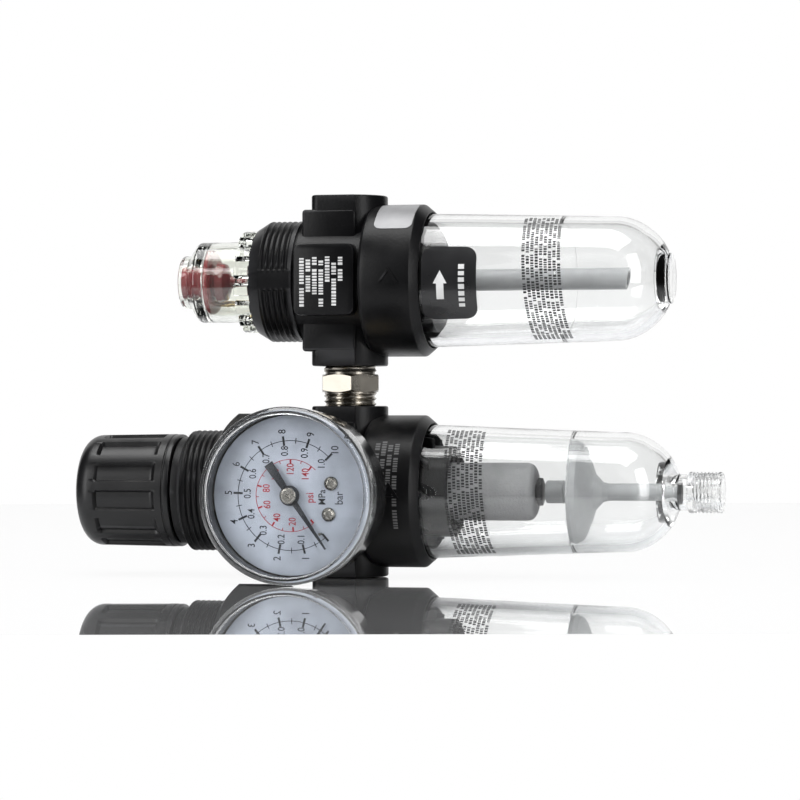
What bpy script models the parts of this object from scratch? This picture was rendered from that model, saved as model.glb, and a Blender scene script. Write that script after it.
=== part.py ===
"""Miniature filter regulator and lubricator, joined by a hexagon nipple and lying on their sides.

The pieces of each unit are turned about an axis along X, with the bowls at +X and the adjusting
knob and the sight dome at -X. Air goes up through the ports, which stand on one line along Z.
The filter regulator is below, and the face of its inlet port is the floor. The gauge faces -Y.
"""

import math

import bmesh
import bpy
from mathutils import Vector

# Fits: air left where two pieces rest on each other, thread clearance, and how far a cutter overruns
GAP = 0.0003
THREAD_GAP = 0.0003
OVERRUN = 0.002

# Facets around large, middle and small round pieces
FINE = 32
MIDDLE = 20
COARSE = 12
HALF_FACET = 180 / COARSE

# Both castings, measured along X from the line of the ports and outwards from the unit's axis
AXIS_SPACING = 0.0518
PORT_REACH = 0.0210
PORT_THREAD_RADIUS = 0.0066
PORT_DEPTH = 0.0090
PORT_CHAMFER = 0.0007
BOSS_LEFT = -0.0101
BOSS_RADIUS = 0.0097
BOSS_FACETS = 9
BOSS_CORNER = 0.0020
STEP_LEFT = -0.0124
STEP_RIGHT = 0.0013
STEP_REACH = 0.0174
STEP_HALF_DEPTH = 0.0093
PAD_LEFT = -0.0144
PAD_RIGHT = 0.0006
PAD_HALF_HEIGHT = 0.0107
PAD_HALF_DEPTH = 0.0158
CAST_EDGE = 0.0007
WAIST_RADIUS = 0.0142
SKIRT_LEFT = 0.0032
SKIRT_RIGHT = 0.0212
SKIRT_RADIUS = 0.0187
SKIRT_SHOULDER = 0.0014
SKIRT_CHAMFER_LENGTH = 0.0020
SKIRT_CHAMFER_DEPTH = 0.0017
NECK_END = -0.0225
NECK_RADIUS = 0.0150
NECK_CHAMFER_LENGTH = 0.0029
NECK_RIM_RADIUS = 0.0131
SOCKET_FLOOR = 0.0070

# Passages of the regulator casting
CHAMBER_RADIUS = 0.0112
CHAMBER_FLOOR = -0.0135
STEM_WALL = 0.0035
GALLERY_RADIUS = 0.0060
SEAT_WALL_LEFT = 0.0015
ORIFICE_RADIUS = 0.0030
SEAT_LIP_WIDTH = 0.0008
SEAT_LIP_HEIGHT = 0.0008
VALVE_CHAMBER_LEFT = 0.0040
VALVE_CHAMBER_RADIUS = 0.0063
HUB_RADIUS = 0.0090
HUB_END = 0.0150
OUTLET_DROP_X = -0.0026
OUTLET_DROP_RADIUS = 0.0040
INLET_DUCT_RADIUS = 0.0020
INLET_DUCT_Z = -0.0117
INLET_DUCT_FACETS = 10

# Bonnet
BONNET_SHOULDER = -0.0427
BONNET_RING_RADIUS = 0.0133
BONNET_RING_END = -0.0406
BONNET_THREAD_RADIUS = 0.0150
BONNET_THREAD_LEFT = -0.0396
BONNET_THREAD_RIGHT = -0.0318
HEX_FULL = -0.0286
HEX_CORNER_RADIUS = 0.0193
HEX_RIGHT = -0.0149
TOWER_RADIUS = 0.0112
TOWER_END = -0.0580
TOWER_ROOF = 0.0020
SPRING_CHAMBER_RADIUS = 0.0094
NUT_SLOT_DEPTH = 0.0008
NUT_SLOT_WIDTH = 0.0034

# Adjusting knob
KNOB_END = -0.0687
KNOB_RIGHT = -0.0430
KNOB_RADIUS_LEFT = 0.0138
KNOB_RADIUS_RIGHT = 0.01405
KNOB_CORNER = 0.0042
KNOB_DOME = 0.0008
KNOB_CAVITY_RADIUS = 0.0116
KNOB_CAVITY_END = -0.0655
KNOB_HUB_RADIUS = 0.0052
FLUTES = 12
FLUTE_DEPTH = 0.0010
FLUTE_FLOOR_ANGLE = math.radians(16)
FLUTE_WALL_ANGLE = math.radians(3)
FLUTE_PHASE = math.radians(20.65)
FLUTE_LEFT = -0.0625
FLUTE_RIGHT = -0.0465

# Adjusting screw and spring nut
DRIVE_END = -0.0645
DRIVE_WIDTH = 0.0050
SCREW_JOURNAL_RADIUS = 0.0030
SCREW_FLANGE_RADIUS = 0.0055
SCREW_FLANGE_LENGTH = 0.0014
SCREW_THREAD_RADIUS = 0.0028
SCREW_THREAD_END = -0.0380
NUT_RADIUS = 0.0089
NUT_LENGTH = 0.0040
NUT_PILOT_RADIUS = 0.0055
NUT_PILOT_LENGTH = 0.0018
NUT_LEFT = -0.0538
SPRING_RADIUS = 0.0072
SPRING_WIRE = 0.0020
SPRING_TURNS = 6.5

# Diaphragm assembly and valve
DIAPHRAGM_THICKNESS = 0.0010
PLATE_RADIUS = 0.0088
PLATE_THICKNESS = 0.0015
PLATE_PILOT_RADIUS = 0.0056
PLATE_PILOT_LENGTH = 0.0018
RIVET_RADIUS = 0.0020
RELIEF_HOLE_RADIUS = 0.0007
WASHER_RADIUS = 0.0075
WASHER_THICKNESS = 0.0008
VALVE_STEM_RADIUS = 0.0012
VALVE_TRAVEL = 0.0010
VALVE_HEAD_RADIUS = 0.0048
VALVE_HEAD_LENGTH = 0.0014
VALVE_SEAL_THICKNESS = 0.0010
VALVE_TAIL_RADIUS = 0.0019
VALVE_TAIL_LENGTH = 0.0062
VALVE_SPRING_RADIUS = 0.0034
VALVE_SPRING_WIRE = 0.0006
VALVE_SPRING_TURNS = 4
GUIDE_FLANGE_RADIUS = 0.0084
GUIDE_FLANGE_LENGTH = 0.0017
GUIDE_PLUG_LENGTH = 0.0030
GUIDE_HOLES = 4
GUIDE_HOLE_RADIUS = 0.0008
GUIDE_HOLE_CIRCLE = 0.0045

# Louver, filter element and retainer
LOUVER_RADIUS = 0.0114
LOUVER_END = 0.0270
LOUVER_WALL = 0.0012
LOUVER_FINS = 10
LOUVER_FIN_REACH = 0.0022
LOUVER_FIN_LENGTH = 0.0050
LOUVER_FIN_THICKNESS = 0.0009
LOUVER_FIN_SLANT = math.radians(35)
ELEMENT_RADIUS = 0.0071
ELEMENT_BORE_RADIUS = 0.0042
ELEMENT_END = 0.0470
ELEMENT_CORNER = 0.0030
ELEMENT_FLOOR = 0.0030
STUD_RADIUS = 0.0017
RETAINER_RADIUS = 0.0034
RETAINER_LENGTH = 0.0014

# Umbrella baffle and drain
NUB_LEFT = 0.0495
NUB_RADIUS = 0.0028
CANOPY_LEFT = 0.0532
CANOPY_RIM = 0.0574
CANOPY_RADIUS = 0.01265
CANOPY_BACK_RADIUS = 0.0100
CANOPY_BACK = 0.0604
CANOPY_TIP = 0.0639
DRAIN_STEM_RADIUS = 0.0021
DRAIN_STEM_END = 0.0813
DRAIN_SEAL_RADIUS = 0.0029
DRAIN_SEAL_THICKNESS = 0.0015
DRAIN_SEAT_THICKNESS = 0.0010
DRAIN_SEAT_HOLE_RADIUS = 0.0014

# Bowls, which share their mouth and differ in length and closed end
BOWL_WALL = 0.0020
BOWL_RADIUS = 0.0164
BOWL_RUN_OUT = 0.0010
BOWL_RING_SECTION = 0.0009
FILTER_BOWL_WAIST = 0.0660
FILTER_BOWL_WAIST_RADIUS = 0.0146
FILTER_BOWL_DOME_LEFT = 0.0715
FILTER_BOWL_DOME_RADIUS = 0.0102
DRAIN_BOSS_RADIUS = 0.00775
DRAIN_BOSS_LEFT = 0.0770
DRAIN_BORE_RADIUS = 0.0033
NECK_LEFT = 0.0822
DRAIN_NECK_RADIUS = 0.00435
STUB_LEFT = 0.0846
STUB_RADIUS = 0.0050
STUB_END = 0.0928
OILER_BOWL_WAIST = 0.0650
OILER_BOWL_WAIST_RADIUS = 0.0152
OILER_BOWL_DOME_LEFT = 0.0693
OILER_BOWL_DOME_RADIUS = 0.0106
OILER_BOSS_RADIUS = 0.00615
OILER_BOSS_END = 0.0806
OILER_BOSS_DISC_RADIUS = 0.00775
OILER_BOSS_DISC_LEFT = 0.0765

# Passages of the lubricator casting, siphon and check ball
AIR_BORE_RADIUS = 0.0042
OILER_HUB_RADIUS = 0.0128
OILER_HUB_END = 0.0230
DOME_SOCKET_RADIUS = 0.0110
DOME_SOCKET_FLOOR = -0.0148
DRIP_HOLE_RADIUS = 0.0008
SIPHON_RADIUS = 0.00265
SIPHON_BORE_RADIUS = 0.0016
SIPHON_LEFT = 0.0155
SIPHON_END = 0.0703
SIPHON_SLANT = math.radians(12)
BALL_RADIUS = 0.0012
BALL_TRAVEL = 0.0006
RISER_OFFSET_Y = 0.0046
RISER_OFFSET_Z = -0.0055
RISER_RADIUS = 0.0008
RISER_HOLE_RADIUS = 0.0004
RISER_LEFT = -0.0345
RISER_SEAT_DEPTH = 0.0030
VENTURI_LENGTH = 0.0100
VENTURI_THROAT_RADIUS = 0.0016
VENTURI_LIP = 0.0004

# Sight dome, metering screw and drip nozzle
DOME_HEAD_END = -0.0426
DOME_HEAD_RADIUS = 0.0067
DOME_HEAD_LENGTH = 0.0022
DOME_SHOULDER = 0.0024
DOME_RADIUS = 0.01002
DOME_WALL = 0.0016
DOME_ROOF = 0.0020
DOME_FLANGE_RADIUS = 0.0138
DOME_FLANGE_LEFT = -0.0258
DOME_FLANGE_WEB = 0.0010
DOME_SPIGOT_LENGTH = 0.0058
DOME_RING_SECTION = 0.0008
DOME_LUGS = 10
DOME_LUG_SHARE = 0.55
METER_CORE_RADIUS = 0.0040
METER_CORE_SINK = 0.0004
METER_FLANGE_RADIUS = 0.0056
METER_FLANGE_THICKNESS = 0.0016
METER_CONE_RADIUS = 0.0048
METER_CONE_LENGTH = 0.0036
METER_TIP_RADIUS = 0.0016
METER_SLOT_WIDTH = 0.0012
METER_SLOT_DEPTH = 0.0012
METER_RING_SECTION = 0.0005
NOZZLE_RADIUS = 0.0011
NOZZLE_LENGTH = 0.0024
NOZZLE_BORE_RADIUS = 0.0005

# Hexagon nipple
NIPPLE_HEX_CORNER_RADIUS = 0.00814
NIPPLE_HEX_HEIGHT = 0.0050
NIPPLE_GAP_ABOVE = 0.0012
NIPPLE_BORE_RADIUS = 0.0042
NIPPLE_ENGAGEMENT = 0.0078
NIPPLE_CHAMFER = 0.0006

# Gauge, measured towards the viewer from the plane of the two axes
GAUGE_OFFSET_X = -0.0029
GAUGE_BACK = 0.0314
GAUGE_CASE_RADIUS = 0.0200
GAUGE_CASE_FRONT = 0.0468
GAUGE_CASE_WALL = 0.0012
GAUGE_CASE_CORNER = 0.0016
GAUGE_STEP = 0.0440
GAUGE_STEP_RADIUS = 0.0192
LENS_RADIUS = 0.02095
LENS_FRONT = 0.0510
LENS_RIM_WIDTH = 0.0016
LENS_RECESS = 0.0007
LENS_WINDOW = 0.0012
DIAL_FRONT = 0.0442
DIAL_RADIUS = 0.0176
DIAL_THICKNESS = 0.0005
DIAL_HOLE_RADIUS = 0.0018
GAUGE_PORT_RADIUS = 0.00485
GAUGE_PORT_DEPTH = 0.0070
GAUGE_PORT_CHAMFER = 0.0005
GAUGE_BLEED_RADIUS = 0.0012
STEM_SQUARE = 0.0110
STEM_SQUARE_LEFT = 0.0212
STEM_SQUARE_LENGTH = 0.0080
BLOCK_HALF_WIDTH = 0.0048
BLOCK_HALF_HEIGHT = 0.0030
BLOCK_FRONT = 0.0358
TUBE_RADIUS = 0.0148
TUBE_SECTION_WIDTH = 0.0014
TUBE_SECTION_HEIGHT = 0.0050
TUBE_MIDDLE = 0.0388
TUBE_START = math.radians(-60)
TUBE_SWEEP = math.radians(255)
FRAME_PLATE_THICKNESS = 0.0009
LOWER_PLATE_LEFT = 0.0361
UPPER_PLATE_LEFT = 0.0414
FRAME_HALF_WIDTH = 0.0036
GEAR_MODULE = 0.0003
PINION_TEETH = 10
SECTOR_TEETH = 70
SECTOR_SHOWN_TEETH = 11
GEAR_THICKNESS = 0.0010
GEAR_LEFT = 0.0386
GEAR_BACKLASH = 0.12
PIVOT_RADIUS = 0.0006
PINION_SHAFT_RADIUS = 0.0008
SECTOR_TAIL = 0.0044
LINK_THICKNESS = 0.0006
POINTER_LEFT = 0.0452
POINTER_THICKNESS = 0.0005
POINTER_REST = math.radians(-55.3)
POINTER_LENGTH = 0.0155
POINTER_TAIL = 0.0092
POINTER_ROOT_WIDTH = 0.0013
POINTER_TIP_WIDTH = 0.0010
POINTER_TAIL_WIDTH = 0.0021
HUB_DISC_RADIUS = 0.0025
HUB_CAP_RADIUS = 0.00195
HUB_CAP_HEIGHT = 0.0012
DIAL_SCREW_HEAD_RADIUS = 0.0015
DIAL_SCREW_HEAD_HEIGHT = 0.0008
DIAL_SCREW_SHANK_RADIUS = 0.0006
DIAL_SCREW_SHANK_LENGTH = 0.0022
DIAL_SCREWS = ((0.0096, 0.0028), (0.0091, -0.0045))
STOP_PIN_RADIUS = 0.00035
STOP_PIN_CIRCLE = 0.0118
STOP_PIN_ANGLE = math.radians(-50.3)
PLUG_LENGTH = 0.0070
PLUG_KEY_RADIUS = 0.0026
PLUG_KEY_DEPTH = 0.0040


def remove_everything():
    for item in list(bpy.data.objects):
        bpy.data.objects.remove(item, do_unlink=True)


def finish(name, colour, roughness, metallic=0.0, alpha=1.0):
    """A Principled material; colour is linear red, green and blue."""
    material = bpy.data.materials.new(name)
    material.use_nodes = True
    shader = material.node_tree.nodes["Principled BSDF"]
    shader.inputs["Base Color"].default_value = (*colour, 1.0)
    shader.inputs["Roughness"].default_value = roughness
    shader.inputs["Metallic"].default_value = metallic
    shader.inputs["Alpha"].default_value = alpha
    material.diffuse_color = (*colour, alpha)
    return material


def empty(name, parent=None, location=(0, 0, 0), rotation=(0, 0, 0)):
    item = bpy.data.objects.new(name, None)
    bpy.context.scene.collection.objects.link(item)
    item.parent = parent
    item.location = location
    item.rotation_euler = rotation
    return item


def piece(name, bm, material, parent, location=(0, 0, 0), rotation=(0, 0, 0)):
    """Turns a bmesh into a named object with smooth round faces and crisp edges."""
    bmesh.ops.recalc_face_normals(bm, faces=bm.faces)
    mesh = bpy.data.meshes.new(name)
    bm.to_mesh(mesh)
    bm.free()
    mesh.materials.append(material)
    mesh.shade_smooth()
    mesh.set_sharp_from_angle(angle=math.radians(32))
    item = bpy.data.objects.new(name, mesh)
    bpy.context.scene.collection.objects.link(item)
    item.parent = parent
    item.location = location
    item.rotation_euler = rotation
    return item


def combine(item, tool, operation):
    """Adds a live Boolean; the tool is then a hidden cutter."""
    modifier = item.modifiers.new(tool.name, "BOOLEAN")
    modifier.operation = operation
    modifier.solver = "EXACT"
    modifier.object = tool
    tool.hide_render = True
    tool.display_type = "WIRE"
    return item


def cut(item, *tools):
    for tool in tools:
        combine(item, tool, "DIFFERENCE")
    return item


def join(item, *tools):
    for tool in tools:
        combine(item, tool, "UNION")
    return item


def revolve(profile, facets, closed=True):
    """Spins points of (distance along X, radius) about the X axis."""
    bm = bmesh.new()
    points = [bm.verts.new((along, 0, max(radius, 0))) for along, radius in profile]
    edges = [bm.edges.new(pair) for pair in zip(points, points[1:])]
    if closed:
        edges.append(bm.edges.new((points[-1], points[0])))
    bmesh.ops.spin(
        bm, geom=points + edges, axis=(1, 0, 0), cent=(0, 0, 0),
        angle=math.tau, steps=facets, use_merge=True,
    )
    bmesh.ops.remove_doubles(bm, verts=bm.verts, dist=1e-6)
    bmesh.ops.dissolve_degenerate(bm, edges=bm.edges, dist=1e-6)
    return bm


def turned(name, profile, material, parent, facets=FINE, **placing):
    """A solid turned about X; a profile that starts and ends on the axis is filled."""
    on_axis = profile[0][1] == 0 and profile[-1][1] == 0
    return piece(name, revolve(profile, facets, closed=not on_axis), material, parent, **placing)


def arc(centre, radius, start, end, steps):
    """Points of a circular arc in a profile, angles from the direction of +X."""
    points = []
    for step in range(steps + 1):
        angle = math.radians(start + (end - start) * step / steps)
        points.append((centre[0] + radius * math.cos(angle), centre[1] + radius * math.sin(angle)))
    return points


def sleeve(left, right, outer, inner):
    return [(left, inner), (left, outer), (right, outer), (right, inner)]


def rod(left, right, radius):
    return [(left, 0), (left, radius), (right, radius), (right, 0)]


def extrude(outline, left, right, axis="X"):
    """A straight prism: the outline's two numbers lie along the two axes after the named one."""
    bm = bmesh.new()
    places = {
        "X": lambda u, v: (left, u, v),
        "Y": lambda u, v: (u, left, v),
        "Z": lambda u, v: (u, v, left),
    }
    direction = Vector([right - left if letter == axis else 0 for letter in "XYZ"])
    face = bm.faces.new([bm.verts.new(places[axis](*point)) for point in outline])
    grown = bmesh.ops.extrude_face_region(bm, geom=[face])
    moved = [part for part in grown["geom"] if isinstance(part, bmesh.types.BMVert)]
    bmesh.ops.translate(bm, vec=direction, verts=moved)
    return bm


def prism(name, outline, left, right, material, parent, axis="X", **placing):
    return piece(name, extrude(outline, left, right, axis), material, parent, **placing)


def rectangle(left, right, low, high):
    return [(left, low), (right, low), (right, high), (left, high)]


def circle(centre, radius, facets, first=0.0):
    return arc(centre, radius, first, first + 360 * (facets - 1) / facets, facets - 1)


def polygon(sides, corner_radius, first=0.0):
    return [
        (corner_radius * math.cos(first + math.tau * n / sides),
         corner_radius * math.sin(first + math.tau * n / sides))
        for n in range(sides)
    ]


def block(name, low, high, edge, material, parent):
    """A box with its edges rounded by one chamfer."""
    bm = bmesh.new()
    bmesh.ops.create_cube(bm, size=1.0)
    size = Vector(high) - Vector(low)
    bmesh.ops.scale(bm, vec=size, verts=bm.verts)
    bmesh.ops.translate(bm, vec=Vector(low) + size / 2, verts=bm.verts)
    if edge:
        bmesh.ops.bevel(bm, geom=list(bm.edges), offset=edge, segments=1, profile=0.5, affect="EDGES")
    return piece(name, bm, material, parent)


def seal(name, centre, radius, section, material, parent, facets=FINE):
    """An O-ring about X."""
    return turned(name, circle((centre, radius), section, 6), material, parent, facets)


def coil(name, left, right, radius, wire, turns, material, parent, per_turn=12):
    """A compression spring about X, its end turns closed."""
    curve = bpy.data.curves.new(name, "CURVE")
    curve.dimensions = "3D"
    curve.bevel_depth = wire / 2
    curve.bevel_resolution = 0
    curve.use_fill_caps = True
    spline = curve.splines.new("POLY")
    count = round(turns * per_turn)
    spline.points.add(count)
    run = right - left - wire
    for number in range(count + 1):
        angle = math.tau * number / per_turn
        along = left + wire / 2 + run * number / count
        place = (along, radius * math.cos(angle), radius * math.sin(angle), 1)
        spline.points[number].co = place
    curve.materials.append(material)
    item = bpy.data.objects.new(name, curve)
    bpy.context.scene.collection.objects.link(item)
    item.parent = parent
    return item


# Castings

def casting(name, hub_end, material, axis):
    """The outside that both castings share: neck, waist, skirt, label pad, steps and port bosses.

    Inside the skirt it stays solid up to the hub's end, for the socket to be cut out of.
    """
    core = BOWL_RADIUS - OVERRUN / 2
    core_end = max(hub_end, SKIRT_RIGHT) + OVERRUN / 2
    profile = [
        (NECK_END, 0),
        (NECK_END, NECK_RIM_RADIUS),
        (NECK_END + NECK_CHAMFER_LENGTH, NECK_RADIUS),
        (PAD_LEFT, NECK_RADIUS),
        (PAD_LEFT, WAIST_RADIUS),
        (SKIRT_LEFT, WAIST_RADIUS),
        *arc((SKIRT_LEFT + SKIRT_SHOULDER, SKIRT_RADIUS - SKIRT_SHOULDER), SKIRT_SHOULDER, 180, 90, 2),
        (SKIRT_RIGHT - SKIRT_CHAMFER_LENGTH, SKIRT_RADIUS),
        (SKIRT_RIGHT, SKIRT_RADIUS - SKIRT_CHAMFER_DEPTH),
        (SKIRT_RIGHT, core),
        (core_end, core),
        (core_end, 0),
    ]
    body = turned(name, profile, material, axis)
    pad = block(
        name + ".label_pad", (PAD_LEFT, -PAD_HALF_DEPTH, -PAD_HALF_HEIGHT),
        (PAD_RIGHT, PAD_HALF_DEPTH, PAD_HALF_HEIGHT), CAST_EDGE, material, axis,
    )
    steps = block(
        name + ".steps", (STEP_LEFT, -STEP_HALF_DEPTH, -STEP_REACH),
        (STEP_RIGHT, STEP_HALF_DEPTH, STEP_REACH), CAST_EDGE, material, axis,
    )
    outline = [
        *arc((BOSS_LEFT + BOSS_CORNER, BOSS_CORNER - BOSS_RADIUS), BOSS_CORNER, 180, 270, 2),
        *arc((0, 0), BOSS_RADIUS, 270, 450, BOSS_FACETS),
        *arc((BOSS_LEFT + BOSS_CORNER, BOSS_RADIUS - BOSS_CORNER), BOSS_CORNER, 90, 180, 2),
    ]
    bosses = prism(name + ".bosses", outline, -PORT_REACH, PORT_REACH, material, axis, axis="Z")
    return join(body, pad, steps, bosses)


def port_cutter(name, axis, side, depth, radius, chamfer, material):
    """A port bore with its countersink; side is the turn that points X out through the port."""
    profile = [
        (-depth, 0),
        (-depth, radius),
        (-chamfer, radius),
        (GAP, radius + chamfer + GAP),
        (OVERRUN, radius + chamfer + GAP),
        (OVERRUN, 0),
    ]
    return turned(name, profile, material, axis, MIDDLE, rotation=side["rotation"], location=side["face"])


UP = {"rotation": (0, -math.pi / 2, 0), "face": (0, 0, PORT_REACH)}
DOWN = {"rotation": (0, math.pi / 2, 0), "face": (0, 0, -PORT_REACH)}
FRONT = {"rotation": (0, 0, -math.pi / 2), "face": (GAUGE_OFFSET_X, -PAD_HALF_DEPTH, 0)}
REAR = {"rotation": (0, 0, math.pi / 2), "face": (GAUGE_OFFSET_X, PAD_HALF_DEPTH, 0)}


def socket_cutter(name, hub_radius, hub_end, axis, material):
    """The space inside the skirt, around the hub, that takes the bowl's mouth."""
    bore = BOWL_RADIUS + THREAD_GAP
    far = max(hub_end, SKIRT_RIGHT) + OVERRUN
    return turned(name, [
        (hub_end, 0),
        (hub_end, hub_radius),
        (SOCKET_FLOOR, hub_radius),
        (SOCKET_FLOOR, bore),
        (far, bore),
        (far, 0),
    ], material, axis)


def regulator_body(material, axis):
    body = casting("regulator_body", HUB_END, material, axis)
    bore = turned("regulator_body.valve_bore", [
        (NECK_END - OVERRUN, 0),
        (NECK_END - OVERRUN, CHAMBER_RADIUS),
        (CHAMBER_FLOOR, CHAMBER_RADIUS),
        (CHAMBER_FLOOR, VALVE_STEM_RADIUS + GAP),
        (CHAMBER_FLOOR + STEM_WALL, VALVE_STEM_RADIUS + GAP),
        (CHAMBER_FLOOR + STEM_WALL, GALLERY_RADIUS),
        (SEAT_WALL_LEFT, GALLERY_RADIUS),
        (SEAT_WALL_LEFT, ORIFICE_RADIUS),
        (VALVE_CHAMBER_LEFT + SEAT_LIP_HEIGHT, ORIFICE_RADIUS),
        (VALVE_CHAMBER_LEFT + SEAT_LIP_HEIGHT, ORIFICE_RADIUS + SEAT_LIP_WIDTH),
        (VALVE_CHAMBER_LEFT, ORIFICE_RADIUS + SEAT_LIP_WIDTH),
        (VALVE_CHAMBER_LEFT, VALVE_CHAMBER_RADIUS),
        (HUB_END + OVERRUN, VALVE_CHAMBER_RADIUS),
        (HUB_END + OVERRUN, 0),
    ], material, axis, MIDDLE)
    socket = socket_cutter("regulator_body.bowl_socket", HUB_RADIUS, HUB_END, axis, material)
    thread = PORT_THREAD_RADIUS + THREAD_GAP
    outlet = port_cutter("regulator_body.outlet", axis, UP, PORT_DEPTH, thread, PORT_CHAMFER, material)
    inlet = port_cutter("regulator_body.inlet", axis, DOWN, PORT_DEPTH, thread, PORT_CHAMFER, material)
    drop = prism(
        "regulator_body.outlet_drop",
        circle((OUTLET_DROP_X, 0), OUTLET_DROP_RADIUS, COARSE, HALF_FACET),
        GALLERY_RADIUS / 2, PORT_REACH - PORT_DEPTH + OVERRUN / 2, material, axis, axis="Z",
    )
    duct = prism(
        "regulator_body.inlet_duct", circle((0, INLET_DUCT_Z), INLET_DUCT_RADIUS, INLET_DUCT_FACETS),
        0, SOCKET_FLOOR + OVERRUN, material, axis, axis="X",
    )
    tools = [bore, socket, outlet, inlet, drop, duct]
    for label, side in (("front", FRONT), ("rear", REAR)):
        tools.append(port_cutter(
            "regulator_body." + label + "_gauge_port", axis, side, GAUGE_PORT_DEPTH,
            GAUGE_PORT_RADIUS + THREAD_GAP, GAUGE_PORT_CHAMFER, material,
        ))
    tools.append(prism(
        "regulator_body.bleed", circle((GAUGE_OFFSET_X, 0), GAUGE_BLEED_RADIUS, COARSE, HALF_FACET),
        -PAD_HALF_DEPTH + GAUGE_PORT_DEPTH / 2, PAD_HALF_DEPTH - GAUGE_PORT_DEPTH / 2,
        material, axis, axis="Y",
    ))
    return cut(body, *tools)


def lubricator_body(material, axis):
    body = casting("lubricator_body", OILER_HUB_END, material, axis)
    thread = PORT_THREAD_RADIUS + THREAD_GAP
    drip_chamber = turned("lubricator_body.dome_socket", [
        (NECK_END - OVERRUN, 0),
        (NECK_END - OVERRUN, DOME_SOCKET_RADIUS),
        (DOME_SOCKET_FLOOR, DOME_SOCKET_RADIUS),
        (DOME_SOCKET_FLOOR, DRIP_HOLE_RADIUS),
        (-AIR_BORE_RADIUS / 2, DRIP_HOLE_RADIUS),
        (-AIR_BORE_RADIUS / 2, 0),
    ], material, axis)
    socket = socket_cutter("lubricator_body.bowl_socket", OILER_HUB_RADIUS, OILER_HUB_END, axis, material)
    outlet = port_cutter("lubricator_body.outlet", axis, UP, PORT_DEPTH, thread, PORT_CHAMFER, material)
    inlet = port_cutter("lubricator_body.inlet", axis, DOWN, PORT_DEPTH, thread, PORT_CHAMFER, material)
    reach = PORT_REACH - PORT_DEPTH + OVERRUN / 2
    air = prism(
        "lubricator_body.air_bore", circle((0, 0), AIR_BORE_RADIUS, COARSE, HALF_FACET), -reach, reach,
        material, axis, axis="Z",
    )
    ball_room = BALL_RADIUS + GAP
    siphon = turned("lubricator_body.siphon_bore", [
        (ball_seat(), 0),
        (ball_seat(), ball_room),
        (SIPHON_LEFT - GAP, ball_room),
        (SIPHON_LEFT - GAP, SIPHON_RADIUS + GAP),
        (OILER_HUB_END + OVERRUN, SIPHON_RADIUS + GAP),
        (OILER_HUB_END + OVERRUN, 0),
    ], material, axis, COARSE)
    riser = prism(
        "lubricator_body.riser_bore",
        circle((RISER_OFFSET_Y, RISER_OFFSET_Z), RISER_RADIUS + GAP, COARSE // 2),
        DOME_SOCKET_FLOOR - OVERRUN, ball_seat() + BALL_RADIUS, material, axis, axis="X",
    )
    return cut(body, drip_chamber, socket, outlet, inlet, air, siphon, riser)


def ball_seat():
    """Where the ball's room starts, behind its travel."""
    return SIPHON_LEFT - 2 * GAP - 2 * BALL_RADIUS - BALL_TRAVEL - GAP


# Bonnet, knob, adjusting screw, spring nut

def diaphragm_seat():
    """The bonnet's inner shoulder, which holds the diaphragm's rim against the casting's neck."""
    return NECK_END - DIAPHRAGM_THICKNESS - 2 * GAP


def regulator_bonnet(material, axis):
    bonnet = turned("regulator_bonnet", [
        (TOWER_END, 0),
        (TOWER_END, TOWER_RADIUS),
        (BONNET_SHOULDER, TOWER_RADIUS),
        (BONNET_SHOULDER, BONNET_RING_RADIUS),
        (BONNET_RING_END, BONNET_RING_RADIUS),
        (BONNET_THREAD_LEFT, BONNET_THREAD_RADIUS),
        (BONNET_THREAD_RIGHT + OVERRUN, BONNET_THREAD_RADIUS),
        (BONNET_THREAD_RIGHT + OVERRUN, 0),
    ], material, axis)
    hexagon = prism(
        "regulator_bonnet.hexagon", polygon(6, HEX_CORNER_RADIUS, math.pi / 2),
        BONNET_THREAD_RIGHT, HEX_RIGHT, material, axis,
    )
    chamfer = turned("regulator_bonnet.hexagon_chamfer", [
        (BONNET_THREAD_RIGHT - OVERRUN, 0),
        (BONNET_THREAD_RIGHT - OVERRUN, BONNET_THREAD_RADIUS),
        (BONNET_THREAD_RIGHT, BONNET_THREAD_RADIUS),
        (HEX_FULL, HEX_CORNER_RADIUS + CAST_EDGE),
        (HEX_RIGHT + OVERRUN, HEX_CORNER_RADIUS + CAST_EDGE),
        (HEX_RIGHT + OVERRUN, 0),
    ], material, axis)
    combine(hexagon, chamfer, "INTERSECT")
    join(bonnet, hexagon)
    seat = diaphragm_seat()
    chamber = turned("regulator_bonnet.chamber", [
        (TOWER_END - OVERRUN, 0),
        (TOWER_END - OVERRUN, SCREW_JOURNAL_RADIUS + GAP),
        (TOWER_END + TOWER_ROOF, SCREW_JOURNAL_RADIUS + GAP),
        (TOWER_END + TOWER_ROOF, SPRING_CHAMBER_RADIUS),
        (seat - GAP, SPRING_CHAMBER_RADIUS),
        (seat, CHAMBER_RADIUS),
        (seat, NECK_RIM_RADIUS + THREAD_GAP),
        (NECK_END + NECK_CHAMFER_LENGTH / 4, NECK_RIM_RADIUS + 2 * THREAD_GAP),
        (NECK_END + NECK_CHAMFER_LENGTH, NECK_RADIUS + THREAD_GAP),
        (HEX_RIGHT + OVERRUN, NECK_RADIUS + THREAD_GAP),
        (HEX_RIGHT + OVERRUN, 0),
    ], material, axis)
    slots = block(
        "regulator_bonnet.nut_slots",
        (TOWER_END + TOWER_ROOF + GAP, -NUT_SLOT_WIDTH / 2, -SPRING_CHAMBER_RADIUS - NUT_SLOT_DEPTH),
        (SCREW_THREAD_END, NUT_SLOT_WIDTH / 2, SPRING_CHAMBER_RADIUS + NUT_SLOT_DEPTH),
        0, material, axis,
    )
    return cut(bonnet, chamber, slots)


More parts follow.
